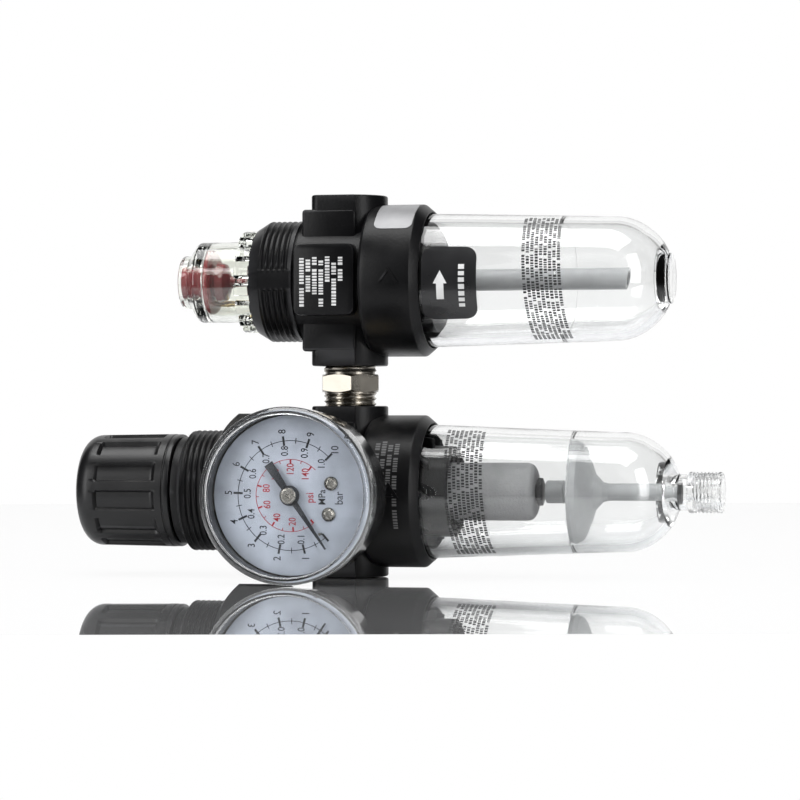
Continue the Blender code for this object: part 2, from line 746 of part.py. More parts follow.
def adjusting_knob(material, axis):
    """The fluted knob: a domed cap with twelve shallow grooves and a square-socketed hub inside."""
    knob = turned("adjusting_knob", [
        (KNOB_END, 0),
        (KNOB_END + KNOB_DOME / 6, (KNOB_RADIUS_LEFT - KNOB_CORNER) * 0.6),
        *arc((KNOB_END + KNOB_DOME + KNOB_CORNER, KNOB_RADIUS_LEFT - KNOB_CORNER), KNOB_CORNER, 170, 92, 4),
        (FLUTE_RIGHT + OVERRUN / 4, KNOB_RADIUS_RIGHT),
        (KNOB_RIGHT, KNOB_RADIUS_RIGHT),
        (KNOB_RIGHT, KNOB_CAVITY_RADIUS),
        (KNOB_CAVITY_END, KNOB_CAVITY_RADIUS),
        (KNOB_CAVITY_END, KNOB_HUB_RADIUS),
        (TOWER_END - 2 * GAP, KNOB_HUB_RADIUS),
        (TOWER_END - 2 * GAP, 0),
    ], material, axis, 48)
    flutes = bmesh.new()
    half_floor = FLUTE_FLOOR_ANGLE / 2
    floor_radius = KNOB_RADIUS_RIGHT - FLUTE_DEPTH
    outer_radius = KNOB_RADIUS_RIGHT + FLUTE_DEPTH
    half_mouth = half_floor + 2 * FLUTE_WALL_ANGLE
    for number in range(FLUTES):
        middle = math.tau * number / FLUTES - FLUTE_PHASE
        corners = [
            (floor_radius, -half_floor), (floor_radius, 0), (floor_radius, half_floor),
            (outer_radius, half_mouth), (outer_radius, -half_mouth),
        ]
        outline = [
            (-radius * math.cos(middle + turn), radius * math.sin(middle + turn))
            for radius, turn in corners
        ]
        ring = [flutes.verts.new((FLUTE_LEFT, *point)) for point in outline]
        far = [flutes.verts.new((FLUTE_RIGHT, *point)) for point in outline]
        flutes.faces.new(ring)
        flutes.faces.new(far)
        for a in range(len(ring)):
            b = (a + 1) % len(ring)
            flutes.faces.new((ring[a], ring[b], far[b], far[a]))
    grooves = piece("adjusting_knob.grooves", flutes, material, axis)
    width = DRIVE_WIDTH + 2 * GAP
    socket = block(
        "adjusting_knob.square_socket", (DRIVE_END - GAP, -width / 2, -width / 2),
        (TOWER_END + OVERRUN, width / 2, width / 2), 0, material, axis,
    )
    return cut(knob, grooves, socket)


def adjusting_screw(material, axis):
    flange_left = TOWER_END + TOWER_ROOF + GAP
    screw = turned("adjusting_screw", [
        (TOWER_END - GAP, 0),
        (TOWER_END - GAP, SCREW_JOURNAL_RADIUS),
        (flange_left, SCREW_JOURNAL_RADIUS),
        (flange_left, SCREW_FLANGE_RADIUS),
        (flange_left + SCREW_FLANGE_LENGTH, SCREW_FLANGE_RADIUS),
        (flange_left + SCREW_FLANGE_LENGTH, SCREW_THREAD_RADIUS),
        (SCREW_THREAD_END - CAST_EDGE, SCREW_THREAD_RADIUS),
        (SCREW_THREAD_END, SCREW_THREAD_RADIUS - CAST_EDGE),
        (SCREW_THREAD_END, 0),
    ], material, axis, COARSE)
    half = DRIVE_WIDTH / 2
    drive = block(
        "adjusting_screw.square_drive", (DRIVE_END, -half, -half),
        (TOWER_END, half, half), 0, material, axis,
    )
    return join(screw, drive)


def spring_nut(material, axis):
    nut = turned("spring_nut", [
        *sleeve(NUT_LEFT, NUT_LEFT + NUT_LENGTH, NUT_RADIUS, SCREW_THREAD_RADIUS + THREAD_GAP)[:3],
        (NUT_LEFT + NUT_LENGTH, NUT_PILOT_RADIUS),
        (NUT_LEFT + NUT_LENGTH + NUT_PILOT_LENGTH, NUT_PILOT_RADIUS),
        (NUT_LEFT + NUT_LENGTH + NUT_PILOT_LENGTH, SCREW_THREAD_RADIUS + THREAD_GAP),
    ], material, axis, MIDDLE)
    half = NUT_SLOT_WIDTH / 2 - GAP
    for label, side in (("upper", 1), ("lower", -1)):
        reach = SPRING_CHAMBER_RADIUS + NUT_SLOT_DEPTH - GAP
        heights = sorted((side * NUT_PILOT_RADIUS, side * reach))
        lug = block(
            "spring_nut." + label + "_lug", (NUT_LEFT + GAP, -half, heights[0]),
            (NUT_LEFT + NUT_LENGTH - GAP, half, heights[1]), 0, material, axis,
        )
        join(nut, lug)
    return nut


# Diaphragm assembly and valve

def diaphragm_left():
    return diaphragm_seat() + GAP


def diaphragm_plate(material, axis):
    """Spring plate with the hollow rivet whose end is the relief seat."""
    right = diaphragm_left() - GAP
    left = right - PLATE_THICKNESS
    rivet_end = diaphragm_left() + DIAPHRAGM_THICKNESS + 2 * GAP + WASHER_THICKNESS
    return turned("diaphragm_plate", [
        (left - PLATE_PILOT_LENGTH, RELIEF_HOLE_RADIUS),
        (left - PLATE_PILOT_LENGTH, PLATE_PILOT_RADIUS),
        (left, PLATE_PILOT_RADIUS),
        (left, PLATE_RADIUS),
        (right, PLATE_RADIUS),
        (right, RIVET_RADIUS),
        (rivet_end, RIVET_RADIUS),
        (rivet_end, RELIEF_HOLE_RADIUS),
    ], material, axis, MIDDLE)


def diaphragm(material, axis):
    left = diaphragm_left()
    return turned("diaphragm", sleeve(
        left, left + DIAPHRAGM_THICKNESS, NECK_RIM_RADIUS, RIVET_RADIUS + GAP,
    ), material, axis, MIDDLE)


def diaphragm_washer(material, axis):
    left = diaphragm_left() + DIAPHRAGM_THICKNESS + GAP
    return turned("diaphragm_washer", sleeve(
        left, left + WASHER_THICKNESS, WASHER_RADIUS, RIVET_RADIUS + GAP / 2,
    ), material, axis, MIDDLE)


def valve_head_left():
    return VALVE_CHAMBER_LEFT + SEAT_LIP_HEIGHT + GAP


def valve(material, axis):
    """Stem, head and tail in one turned piece; the stem's end closes the relief seat."""
    tip = diaphragm_left() + DIAPHRAGM_THICKNESS + 2 * GAP + WASHER_THICKNESS + GAP
    face = valve_head_left() + VALVE_SEAL_THICKNESS
    back = face + VALVE_HEAD_LENGTH
    return turned("valve", [
        (tip, 0),
        (tip + RELIEF_HOLE_RADIUS, VALVE_STEM_RADIUS),
        (face, VALVE_STEM_RADIUS),
        (face, VALVE_HEAD_RADIUS),
        (back, VALVE_HEAD_RADIUS),
        (back, VALVE_TAIL_RADIUS),
        (back + VALVE_TAIL_LENGTH, VALVE_TAIL_RADIUS),
        (back + VALVE_TAIL_LENGTH, 0),
    ], material, axis, COARSE)


def valve_seal(material, axis):
    left = valve_head_left()
    return turned("valve_seal", sleeve(
        left, left + VALVE_SEAL_THICKNESS - GAP, VALVE_HEAD_RADIUS, VALVE_STEM_RADIUS + GAP / 2,
    ), material, axis, COARSE)


def guide_left():
    return HUB_END + GAP - GUIDE_PLUG_LENGTH


def valve_guide(material, axis):
    """Plug in the hub's end that guides the valve's tail and carries the stud of the element."""
    flange_left = HUB_END + GAP
    flange_right = flange_left + GUIDE_FLANGE_LENGTH
    tail_end = valve_head_left() + VALVE_SEAL_THICKNESS + VALVE_HEAD_LENGTH + VALVE_TAIL_LENGTH
    bore_end = tail_end + VALVE_TRAVEL + GAP
    guide = turned("valve_guide", [
        (bore_end, 0),
        (bore_end, VALVE_TAIL_RADIUS + GAP),
        (guide_left(), VALVE_TAIL_RADIUS + GAP),
        (guide_left(), VALVE_CHAMBER_RADIUS - THREAD_GAP),
        (flange_left, VALVE_CHAMBER_RADIUS - THREAD_GAP),
        (flange_left, GUIDE_FLANGE_RADIUS),
        (flange_right, GUIDE_FLANGE_RADIUS),
        (flange_right, STUD_RADIUS),
        (element_end_face() + RETAINER_LENGTH, STUD_RADIUS),
        (element_end_face() + RETAINER_LENGTH, 0),
    ], material, axis, COARSE)
    for number in range(GUIDE_HOLES):
        turn = math.tau * (number + 0.5) / GUIDE_HOLES
        centre = (GUIDE_HOLE_CIRCLE * math.cos(turn), GUIDE_HOLE_CIRCLE * math.sin(turn))
        hole = prism(
            f"valve_guide.hole_{number + 1}", circle(centre, GUIDE_HOLE_RADIUS, 8),
            guide_left() - OVERRUN, flange_right + OVERRUN, material, axis,
        )
        cut(guide, hole)
    return guide


# Louver, element, retainer, umbrella baffle

def louver_left():
    return HUB_END + GAP + GUIDE_FLANGE_LENGTH + GAP


def filter_louver(material, axis):
    """Cup over the element's top, with slanted fins that set the incoming air spinning."""
    left = louver_left()
    louver = turned("filter_louver", [
        (left, ELEMENT_BORE_RADIUS),
        (left, LOUVER_RADIUS),
        (LOUVER_END, LOUVER_RADIUS - LOUVER_WALL / 4),
        (LOUVER_END, LOUVER_RADIUS - LOUVER_WALL),
        (left + LOUVER_WALL, LOUVER_RADIUS - LOUVER_WALL),
        (left + LOUVER_WALL, ELEMENT_BORE_RADIUS),
    ], material, axis)
    fins = bmesh.new()
    half = (LOUVER_FIN_LENGTH / 2, LOUVER_FIN_THICKNESS / 2)
    inner = LOUVER_RADIUS - LOUVER_WALL / 2
    outer = LOUVER_RADIUS + LOUVER_FIN_REACH
    middle = left + LOUVER_FIN_LENGTH / 2 + LOUVER_WALL / 2
    for number in range(LOUVER_FINS):
        turn = math.tau * number / LOUVER_FINS
        corners = []
        for radius in (inner, outer):
            for along, across in ((-1, -1), (1, -1), (1, 1), (-1, 1)):
                u, v = along * half[0], across * half[1]
                x = middle + u * math.cos(LOUVER_FIN_SLANT) - v * math.sin(LOUVER_FIN_SLANT)
                side = u * math.sin(LOUVER_FIN_SLANT) + v * math.cos(LOUVER_FIN_SLANT)
                y = radius * math.cos(turn) - side * math.sin(turn)
                z = radius * math.sin(turn) + side * math.cos(turn)
                corners.append(fins.verts.new((x, y, z)))
        for quad in ((0, 1, 2, 3), (4, 5, 6, 7), (0, 1, 5, 4), (1, 2, 6, 5), (2, 3, 7, 6), (3, 0, 4, 7)):
            fins.faces.new([corners[index] for index in quad])
    return join(louver, piece("filter_louver.fins", fins, material, axis))


def filter_element(material, axis):
    left = louver_left() + LOUVER_WALL + GAP
    corner = (ELEMENT_END - ELEMENT_CORNER, ELEMENT_RADIUS - ELEMENT_CORNER)
    return turned("filter_element", [
        (left, ELEMENT_BORE_RADIUS),
        (left, ELEMENT_RADIUS),
        *arc(corner, ELEMENT_CORNER, 90, 0, 4),
        (ELEMENT_END, STUD_RADIUS + GAP),
        (ELEMENT_END - ELEMENT_FLOOR, STUD_RADIUS + GAP),
        (ELEMENT_END - ELEMENT_FLOOR, ELEMENT_BORE_RADIUS),
    ], material, axis, MIDDLE)


def element_end_face():
    return ELEMENT_END + GAP


def element_retainer(material, axis):
    left = element_end_face()
    outline = polygon(6, RETAINER_RADIUS, math.pi / 2)
    nut = prism("element_retainer", outline, left, left + RETAINER_LENGTH, material, axis)
    hole = prism(
        "element_retainer.hole", circle((0, 0), STUD_RADIUS + THREAD_GAP, 12),
        left - OVERRUN, left + RETAINER_LENGTH + OVERRUN, material, axis,
    )
    return cut(nut, hole)


def drain_baffle(material, axis):
    """Umbrella that keeps the bowl's bottom quiet, in one piece with the stem of the drain."""
    return turned("drain_baffle", [
        (NUB_LEFT, 0),
        (NUB_LEFT, NUB_RADIUS - GAP),
        (NUB_LEFT + GAP, NUB_RADIUS),
        (CANOPY_LEFT, NUB_RADIUS),
        (CANOPY_LEFT + (CANOPY_RIM - CANOPY_LEFT) / 4, CANOPY_RADIUS * 0.6),
        (CANOPY_RIM - GAP, CANOPY_RADIUS - GAP),
        (CANOPY_RIM, CANOPY_RADIUS),
        (CANOPY_RIM + GAP, CANOPY_RADIUS - GAP),
        (CANOPY_BACK, CANOPY_BACK_RADIUS),
        (CANOPY_TIP, DRAIN_STEM_RADIUS),
        (DRAIN_STEM_END, DRAIN_STEM_RADIUS),
        (DRAIN_STEM_END, 0),
    ], material, axis, MIDDLE)


def drain_seal(material, axis):
    left = DRAIN_STEM_END + GAP
    return turned("drain_seal", rod(left, left + DRAIN_SEAL_THICKNESS, DRAIN_SEAL_RADIUS), material, axis, COARSE)


# Bowls

def bowl_ring_place():
    return SOCKET_FLOOR + GAP + BOWL_RING_SECTION


def bowl_left():
    return bowl_ring_place() + BOWL_RING_SECTION + GAP


def filter_bowl(material, axis):
    """Clear bowl: tapered wall, domed end with a drain boss inside and a threaded drain stub."""
    left = bowl_left()
    centre = (FILTER_BOWL_DOME_LEFT, FILTER_BOWL_WAIST_RADIUS - FILTER_BOWL_DOME_RADIUS - BOWL_RUN_OUT)
    outer = arc(centre, FILTER_BOWL_DOME_RADIUS, 80, 8, 5)
    inner = arc(centre, FILTER_BOWL_DOME_RADIUS - BOWL_WALL, 58, 90, 2)
    seat_left = STUB_LEFT
    seat_right = seat_left + DRAIN_SEAT_THICKNESS
    return turned("filter_bowl", [
        (left, BOWL_RADIUS - BOWL_WALL),
        (left, BOWL_RADIUS),
        (SKIRT_RIGHT, BOWL_RADIUS),
        (FILTER_BOWL_WAIST, FILTER_BOWL_WAIST_RADIUS),
        *outer,
        (NECK_LEFT, DRAIN_NECK_RADIUS),
        (STUB_LEFT, DRAIN_NECK_RADIUS),
        (STUB_LEFT, STUB_RADIUS),
        (STUB_END, STUB_RADIUS),
        (STUB_END, DRAIN_BORE_RADIUS),
        (seat_right, DRAIN_BORE_RADIUS),
        (seat_right, DRAIN_SEAT_HOLE_RADIUS),
        (seat_left, DRAIN_SEAT_HOLE_RADIUS),
        (seat_left, DRAIN_BORE_RADIUS),
        (DRAIN_BOSS_LEFT, DRAIN_BORE_RADIUS),
        (DRAIN_BOSS_LEFT, DRAIN_BOSS_RADIUS),
        *inner,
        (FILTER_BOWL_WAIST, FILTER_BOWL_WAIST_RADIUS - BOWL_WALL),
        (SKIRT_RIGHT, BOWL_RADIUS - BOWL_WALL),
    ], material, axis)


def lubricator_bowl(material, axis):
    """Clear oil bowl: tapered wall and a closed, domed end with a flat boss."""
    left = bowl_left()
    centre = (OILER_BOWL_DOME_LEFT, OILER_BOWL_WAIST_RADIUS - OILER_BOWL_DOME_RADIUS - BOWL_RUN_OUT)
    outer = arc(centre, OILER_BOWL_DOME_RADIUS, 80, 16, 5)
    inner = arc(centre, OILER_BOWL_DOME_RADIUS - BOWL_WALL, 45, 90, 2)
    boss_left = centre[0] + OILER_BOWL_DOME_RADIUS - GAP
    return turned("lubricator_bowl", [
        (OILER_BOSS_DISC_LEFT, 0),
        (OILER_BOSS_DISC_LEFT, OILER_BOSS_DISC_RADIUS),
        *inner,
        (OILER_BOWL_WAIST, OILER_BOWL_WAIST_RADIUS - BOWL_WALL),
        (SKIRT_RIGHT, BOWL_RADIUS - BOWL_WALL),
        (left, BOWL_RADIUS - BOWL_WALL),
        (left, BOWL_RADIUS),
        (SKIRT_RIGHT, BOWL_RADIUS),
        (OILER_BOWL_WAIST, OILER_BOWL_WAIST_RADIUS),
        *outer,
        (boss_left, OILER_BOSS_RADIUS),
        (OILER_BOSS_END, OILER_BOSS_RADIUS),
        (OILER_BOSS_END, 0),
    ], material, axis)


# Lubricator pieces

def siphon_tube(material, axis):
    """Pick-up tube on the axis, its lower end cut slantwise so that it can't seal on the floor."""
    tube = turned("siphon_tube", sleeve(
        SIPHON_LEFT, SIPHON_END, SIPHON_RADIUS, SIPHON_BORE_RADIUS,
    ), material, axis, COARSE)
    reach = 2 * SIPHON_RADIUS
    tool = prism(
        "siphon_tube.slant", rectangle(-reach, reach, -reach, reach), 0, 2 * reach, material, axis,
        location=(SIPHON_END - SIPHON_RADIUS * math.tan(SIPHON_SLANT), 0, 0),
        rotation=(0, SIPHON_SLANT, 0),
    )
    return cut(tube, tool)


def check_ball(material, axis):
    centre = SIPHON_LEFT - GAP - GAP - BALL_RADIUS
    bm = bmesh.new()
    bmesh.ops.create_uvsphere(bm, u_segments=10, v_segments=6, radius=BALL_RADIUS)
    return piece("check_ball", bm, material, axis, location=(centre, 0, 0))


def oil_riser(material, axis):
    return turned("oil_riser", sleeve(
        RISER_LEFT, DOME_SOCKET_FLOOR + RISER_SEAT_DEPTH, RISER_RADIUS, RISER_HOLE_RADIUS,
    ), material, axis, 12, location=(0, RISER_OFFSET_Y, RISER_OFFSET_Z))


def venturi(material, axis):
    """Insert in the air bore whose throat draws the oil in."""
    outer = AIR_BORE_RADIUS - GAP
    half = VENTURI_LENGTH / 2
    throat = VENTURI_THROAT_RADIUS
    mouth = outer - VENTURI_LIP
    return turned("venturi", [
        (-half, mouth),
        (-half, outer),
        (half, outer),
        (half, mouth),
        (half / 3, throat),
        (-half / 3, throat),
    ], material, axis, COARSE, rotation=(0, -math.pi / 2, 0))


def dome_roof():
    """The inner face of the sight dome's closed end."""
    return DOME_HEAD_END + DOME_HEAD_LENGTH + DOME_SHOULDER + DOME_ROOF


def sight_dome(material, axis):
    """Clear dome: bored head, round shoulder, castellated wrench flange and a spigot."""
    head_right = DOME_HEAD_END + DOME_HEAD_LENGTH
    shoulder = (head_right + DOME_SHOULDER, DOME_RADIUS - DOME_SHOULDER)
    flange_right = NECK_END - GAP
    spigot_end = flange_right + DOME_SPIGOT_LENGTH
    inner = DOME_RADIUS - DOME_WALL
    bore = METER_CORE_RADIUS + GAP
    roof = dome_roof()
    dome = turned("sight_dome", [
        (DOME_HEAD_END, bore),
        (DOME_HEAD_END, DOME_HEAD_RADIUS - GAP),
        (DOME_HEAD_END + GAP, DOME_HEAD_RADIUS),
        (head_right, DOME_HEAD_RADIUS),
        *arc(shoulder, DOME_SHOULDER, 160, 90, 3),
        (DOME_FLANGE_LEFT, DOME_RADIUS),
        (DOME_FLANGE_LEFT, DOME_FLANGE_RADIUS - GAP),
        (DOME_FLANGE_LEFT + GAP, DOME_FLANGE_RADIUS),
        (flange_right, DOME_FLANGE_RADIUS),
        (flange_right, DOME_SOCKET_RADIUS - THREAD_GAP),
        (spigot_end, DOME_SOCKET_RADIUS - THREAD_GAP),
        (spigot_end, inner),
        (roof, inner),
        (roof, bore),
    ], material, axis, 30)
    notches = bmesh.new()
    half = math.pi / DOME_LUGS * (1 - DOME_LUG_SHARE)
    low = DOME_RADIUS + GAP
    high = DOME_FLANGE_RADIUS + OVERRUN
    for number in range(DOME_LUGS):
        middle = math.tau * (number + 0.5) / DOME_LUGS
        outline = [(low, -half * 1.1), (high, -half), (high, half), (low, half * 1.1)]
        rings = []
        for along in (DOME_FLANGE_LEFT - OVERRUN, flange_right - DOME_FLANGE_WEB):
            rings.append([
                notches.verts.new((along, radius * math.cos(middle + turn), radius * math.sin(middle + turn)))
                for radius, turn in outline
            ])
            notches.faces.new(rings[-1])
        for a in range(4):
            b = (a + 1) % 4
            notches.faces.new((rings[0][a], rings[0][b], rings[1][b], rings[1][a]))
    return cut(dome, piece("sight_dome.notches", notches, material, axis))


def metering_screw(material, axis):
    """Oil feed screw: slotted core in the dome's head, flange under its roof and a cone below."""
    left = DOME_HEAD_END + METER_CORE_SINK
    flange = dome_roof() + GAP + 2 * METER_RING_SECTION + GAP
    cone = flange + METER_FLANGE_THICKNESS
    screw = turned("metering_screw", [
        (left, 0),
        (left, METER_CORE_RADIUS - GAP),
        (left + GAP, METER_CORE_RADIUS),
        (flange, METER_CORE_RADIUS),
        (flange, METER_FLANGE_RADIUS),
        (cone, METER_FLANGE_RADIUS),
        (cone, METER_CONE_RADIUS),
        (cone + METER_CONE_LENGTH, METER_TIP_RADIUS),
        (cone + METER_CONE_LENGTH, 0),
    ], material, axis, MIDDLE)
    reach = METER_CORE_RADIUS + GAP / 2
    slot = block(
        "metering_screw.slot", (left - OVERRUN, -METER_SLOT_WIDTH / 2, -reach),
        (left + METER_SLOT_DEPTH, METER_SLOT_WIDTH / 2, reach), 0, material, axis,
    )
    return cut(screw, slot)


def metering_ring(material, axis):
    place = dome_roof() + GAP + METER_RING_SECTION
    radius = METER_CORE_RADIUS + GAP + METER_RING_SECTION
    return seal("metering_ring", place, radius, METER_RING_SECTION, material, axis, COARSE)


def drip_nozzle(material, axis):
    left = (
        dome_roof() + 2 * GAP + 2 * METER_RING_SECTION
        + METER_FLANGE_THICKNESS + METER_CONE_LENGTH + GAP
    )
    return turned("drip_nozzle", sleeve(
        left, left + NOZZLE_LENGTH, NOZZLE_RADIUS, NOZZLE_BORE_RADIUS,
    ), material, axis, COARSE)


# Nipple

def hex_nipple(material, axis_between):
    """Hexagon with a threaded end above and below, bored through; modelled about Z."""
    low = -NIPPLE_HEX_HEIGHT / 2
    high = NIPPLE_HEX_HEIGHT / 2
    hexagon = prism(
        "hex_nipple.hexagon", polygon(6, NIPPLE_HEX_CORNER_RADIUS, math.pi / 2), low, high,
        material, axis_between, axis="Z",
    )
    flat_radius = NIPPLE_HEX_CORNER_RADIUS * math.cos(math.pi / 6)
    chamfer = turned("hex_nipple.chamfer", [
        (low - OVERRUN / 4, 0),
        (low - OVERRUN / 4, flat_radius - OVERRUN / 4),
        (low + NIPPLE_CHAMFER, NIPPLE_HEX_CORNER_RADIUS + GAP / 2),
        (high - NIPPLE_CHAMFER, NIPPLE_HEX_CORNER_RADIUS + GAP / 2),
        (high + OVERRUN / 4, flat_radius - OVERRUN / 4),
        (high + OVERRUN / 4, 0),
    ], material, axis_between, MIDDLE, rotation=(0, -math.pi / 2, 0))
    combine(hexagon, chamfer, "INTERSECT")
    top = high + NIPPLE_GAP_ABOVE + NIPPLE_ENGAGEMENT
    gap_below = AXIS_SPACING - 2 * PORT_REACH - NIPPLE_HEX_HEIGHT - NIPPLE_GAP_ABOVE
    bottom = low - gap_below - NIPPLE_ENGAGEMENT
    nipple = turned("hex_nipple", [
        (bottom, 0),
        (bottom, PORT_THREAD_RADIUS - NIPPLE_CHAMFER),
        (bottom + NIPPLE_CHAMFER, PORT_THREAD_RADIUS),
        (top - NIPPLE_CHAMFER, PORT_THREAD_RADIUS),
        (top, PORT_THREAD_RADIUS - NIPPLE_CHAMFER),
        (top, 0),
    ], material, axis_between, MIDDLE, rotation=(0, -math.pi / 2, 0))
    join(nipple, hexagon)
    bore = prism(
        "hex_nipple.bore", circle((0, 0), NIPPLE_BORE_RADIUS, MIDDLE), bottom - OVERRUN, top + OVERRUN,
        material, axis_between, axis="Z",
    )
    return cut(nipple, bore)


# Gauge, modelled about its own axis: X to the viewer, Y to the right, Z up

def polar(radius, angle, centre=(0.0, 0.0)):
    return (centre[0] + radius * math.cos(angle), centre[1] + radius * math.sin(angle))


def bar(length_back, length_front, half_width, angle):
    """Outline of a straight bar through the centre, pointing along the angle."""
    along, across = polar(1, angle), polar(1, angle + math.pi / 2)
    return [
        (u * along[0] + v * across[0], u * along[1] + v * across[1])
        for u, v in rectangle(-length_back, length_front, -half_width, half_width)
    ]


def gauge_case(material, axis):
    inner = GAUGE_STEP_RADIUS - GAUGE_CASE_WALL
    corner = (GAUGE_BACK + GAUGE_CASE_CORNER, GAUGE_CASE_RADIUS - GAUGE_CASE_CORNER)
    return turned("gauge_case", [
        (GAUGE_BACK, GAUGE_PORT_RADIUS),
        *arc(corner, GAUGE_CASE_CORNER, 180, 90, 2),
        (GAUGE_STEP, GAUGE_CASE_RADIUS),
        (GAUGE_STEP, GAUGE_STEP_RADIUS),
        (GAUGE_CASE_FRONT, GAUGE_STEP_RADIUS),
        (GAUGE_CASE_FRONT, inner),
        (GAUGE_BACK + GAUGE_CASE_WALL, inner),
        (GAUGE_BACK + GAUGE_CASE_WALL, GAUGE_PORT_RADIUS),
    ], material, axis)


def gauge_lens(material, axis):
    """Clear snap-on cap with a raised rim around its window."""
    window = LENS_FRONT - LENS_RECESS
    skirt = GAUGE_STEP_RADIUS + GAP
    rest = GAUGE_CASE_FRONT + GAP
    inner = GAUGE_STEP_RADIUS - GAUGE_CASE_WALL
    return turned("gauge_lens", [
        (window - LENS_WINDOW, 0),
        (window - LENS_WINDOW, inner),
        (rest, inner + GAP),
        (rest, skirt),
        (GAUGE_STEP + GAP, skirt),
        (GAUGE_STEP + GAP, LENS_RADIUS),
        (LENS_FRONT - GAP, LENS_RADIUS),
        (LENS_FRONT, LENS_RADIUS - GAP),
        (LENS_FRONT, LENS_RADIUS - LENS_RIM_WIDTH),
        (window, LENS_RADIUS - LENS_RIM_WIDTH - GAP),
        (window, 0),
    ], material, axis)


def gauge_stem(material, axis):
    """Threaded stem, wrench square and the socket bar inside the case that holds the tube."""
    left = PAD_HALF_DEPTH - GAUGE_PORT_DEPTH + 2 * GAP
    neck = GAUGE_PORT_RADIUS - GAP
    stem = turned("gauge_stem", [
        (left, 0),
        (left, GAUGE_PORT_RADIUS - GAP),
        (left + GAP, GAUGE_PORT_RADIUS),
        (STEM_SQUARE_LEFT, GAUGE_PORT_RADIUS),
        (STEM_SQUARE_LEFT, neck),
        (BLOCK_FRONT - GAP, neck),
        (BLOCK_FRONT - GAP, 0),
    ], material, axis, COARSE)
    half = STEM_SQUARE / 2
    square = block(
        "gauge_stem.square", (STEM_SQUARE_LEFT, -half, -half),
        (STEM_SQUARE_LEFT + STEM_SQUARE_LENGTH, half, half), GAP, material, axis,
    )
    socket = prism(
        "gauge_stem.socket_bar", bar(BLOCK_HALF_WIDTH, tube_seat() + BLOCK_HALF_HEIGHT / 2,
                                     BLOCK_HALF_HEIGHT, seat_angle()),
        GAUGE_BACK + GAUGE_CASE_WALL + GAP, BLOCK_FRONT, material, axis,
    )
    tower = prism(
        "gauge_stem.tube_seat",
        bar(TUBE_SECTION_HEIGHT / 3 - tube_seat(), tube_seat() + TUBE_SECTION_WIDTH, BLOCK_HALF_HEIGHT / 3,
            seat_angle()),
        BLOCK_FRONT - GAUGE_CASE_WALL, TUBE_MIDDLE + TUBE_SECTION_HEIGHT / 2, material, axis,
    )
    return join(stem, square, socket, tower)


def tube_seat():
    return TUBE_RADIUS


def seat_angle():
    """Beside the tube's fixed end, with a gap between them."""
    return TUBE_START + (BLOCK_HALF_HEIGHT / 3 + GAP) / TUBE_RADIUS


def bourdon_tube(material, axis):
    outer = TUBE_RADIUS + TUBE_SECTION_WIDTH / 2
    inner = TUBE_RADIUS - TUBE_SECTION_WIDTH / 2
    start = math.degrees(TUBE_START)
    end = start - math.degrees(TUBE_SWEEP)
    outline = arc((0, 0), outer, start, end, 20) + arc((0, 0), inner, end, start, 20)
    half = TUBE_SECTION_HEIGHT / 2
    return prism("bourdon_tube", outline, TUBE_MIDDLE - half, TUBE_MIDDLE + half, material, axis)


def gear_distance():
    return GEAR_MODULE * (PINION_TEETH + SECTOR_TEETH) / 2 + GAP / 6


def tooth(teeth, middle, centre):
    """Outline of one involute tooth around its middle, from one root to the other."""
    pitch = GEAR_MODULE * teeth / 2
    base = pitch * math.cos(math.radians(20))
    tip = pitch + GEAR_MODULE * 0.9
    root = pitch - GEAR_MODULE * 1.25
    half_at_pitch = math.pi / teeth / 2 * (1 - GEAR_BACKLASH)

    def involute(radius):
        roll = math.sqrt(max((radius / base) ** 2 - 1, 0))
        return roll - math.atan(roll)

    radii = [max(root, base), pitch, tip]
    halves = [half_at_pitch + involute(pitch) - involute(radius) for radius in radii]
    rising = [(root, halves[0] * 1.05)] + list(zip(radii, halves))
    points = [polar(radius, middle - half, centre) for radius, half in rising]
    return points + [polar(radius, middle + half, centre) for radius, half in reversed(rising)]


def pinion_shaft(material, axis):
    outline = []
    for number in range(PINION_TEETH):
        outline += tooth(PINION_TEETH, math.tau * number / PINION_TEETH, (0, 0))
    pinion = prism(
        "pinion_shaft", outline, GEAR_LEFT, GEAR_LEFT + GEAR_THICKNESS, material, axis,
    )
    shaft = turned("pinion_shaft.shaft", rod(
        LOWER_PLATE_LEFT + GAP, POINTER_LEFT + POINTER_THICKNESS, PINION_SHAFT_RADIUS,
    ), material, axis, 12)
    return join(pinion, shaft)


def sector_gear(material, pivot):
    """Toothed sector with its staff; its tail is driven by the link. Its origin is its pivot."""
    pitch_angle = math.tau / SECTOR_TEETH
    first = math.pi - pitch_angle * (SECTOR_SHOWN_TEETH - 2.5)
    outline = []
    for number in range(SECTOR_SHOWN_TEETH):
        outline += tooth(SECTOR_TEETH, first + pitch_angle * number, (0, 0))
    last = first + pitch_angle * (SECTOR_SHOWN_TEETH - 1)
    tail = sector_tail_angle()
    hub = 3 * PIVOT_RADIUS
    eye = polar(SECTOR_TAIL, tail)
    outline.append(polar(hub, last + math.pi / 4))
    outline += arc(eye, 1.6 * PIVOT_RADIUS, math.degrees(tail) - 90, math.degrees(tail) + 90, 5)
    outline.append(polar(hub, first - math.pi / 4))
    sector = prism("sector_gear", outline, GEAR_LEFT, GEAR_LEFT + GEAR_THICKNESS, material, pivot)
    staff = turned("sector_gear.staff", rod(
        LOWER_PLATE_LEFT + GAP, UPPER_PLATE_LEFT + FRAME_PLATE_THICKNESS - GAP, PIVOT_RADIUS,
    ), material, pivot, 12)
    return join(sector, staff)


def sector_tail_angle():
    pitch_angle = math.tau / SECTOR_TEETH
    return math.pi - pitch_angle * (SECTOR_SHOWN_TEETH - 2.5) + pitch_angle * (SECTOR_SHOWN_TEETH - 1) / 2 - math.pi


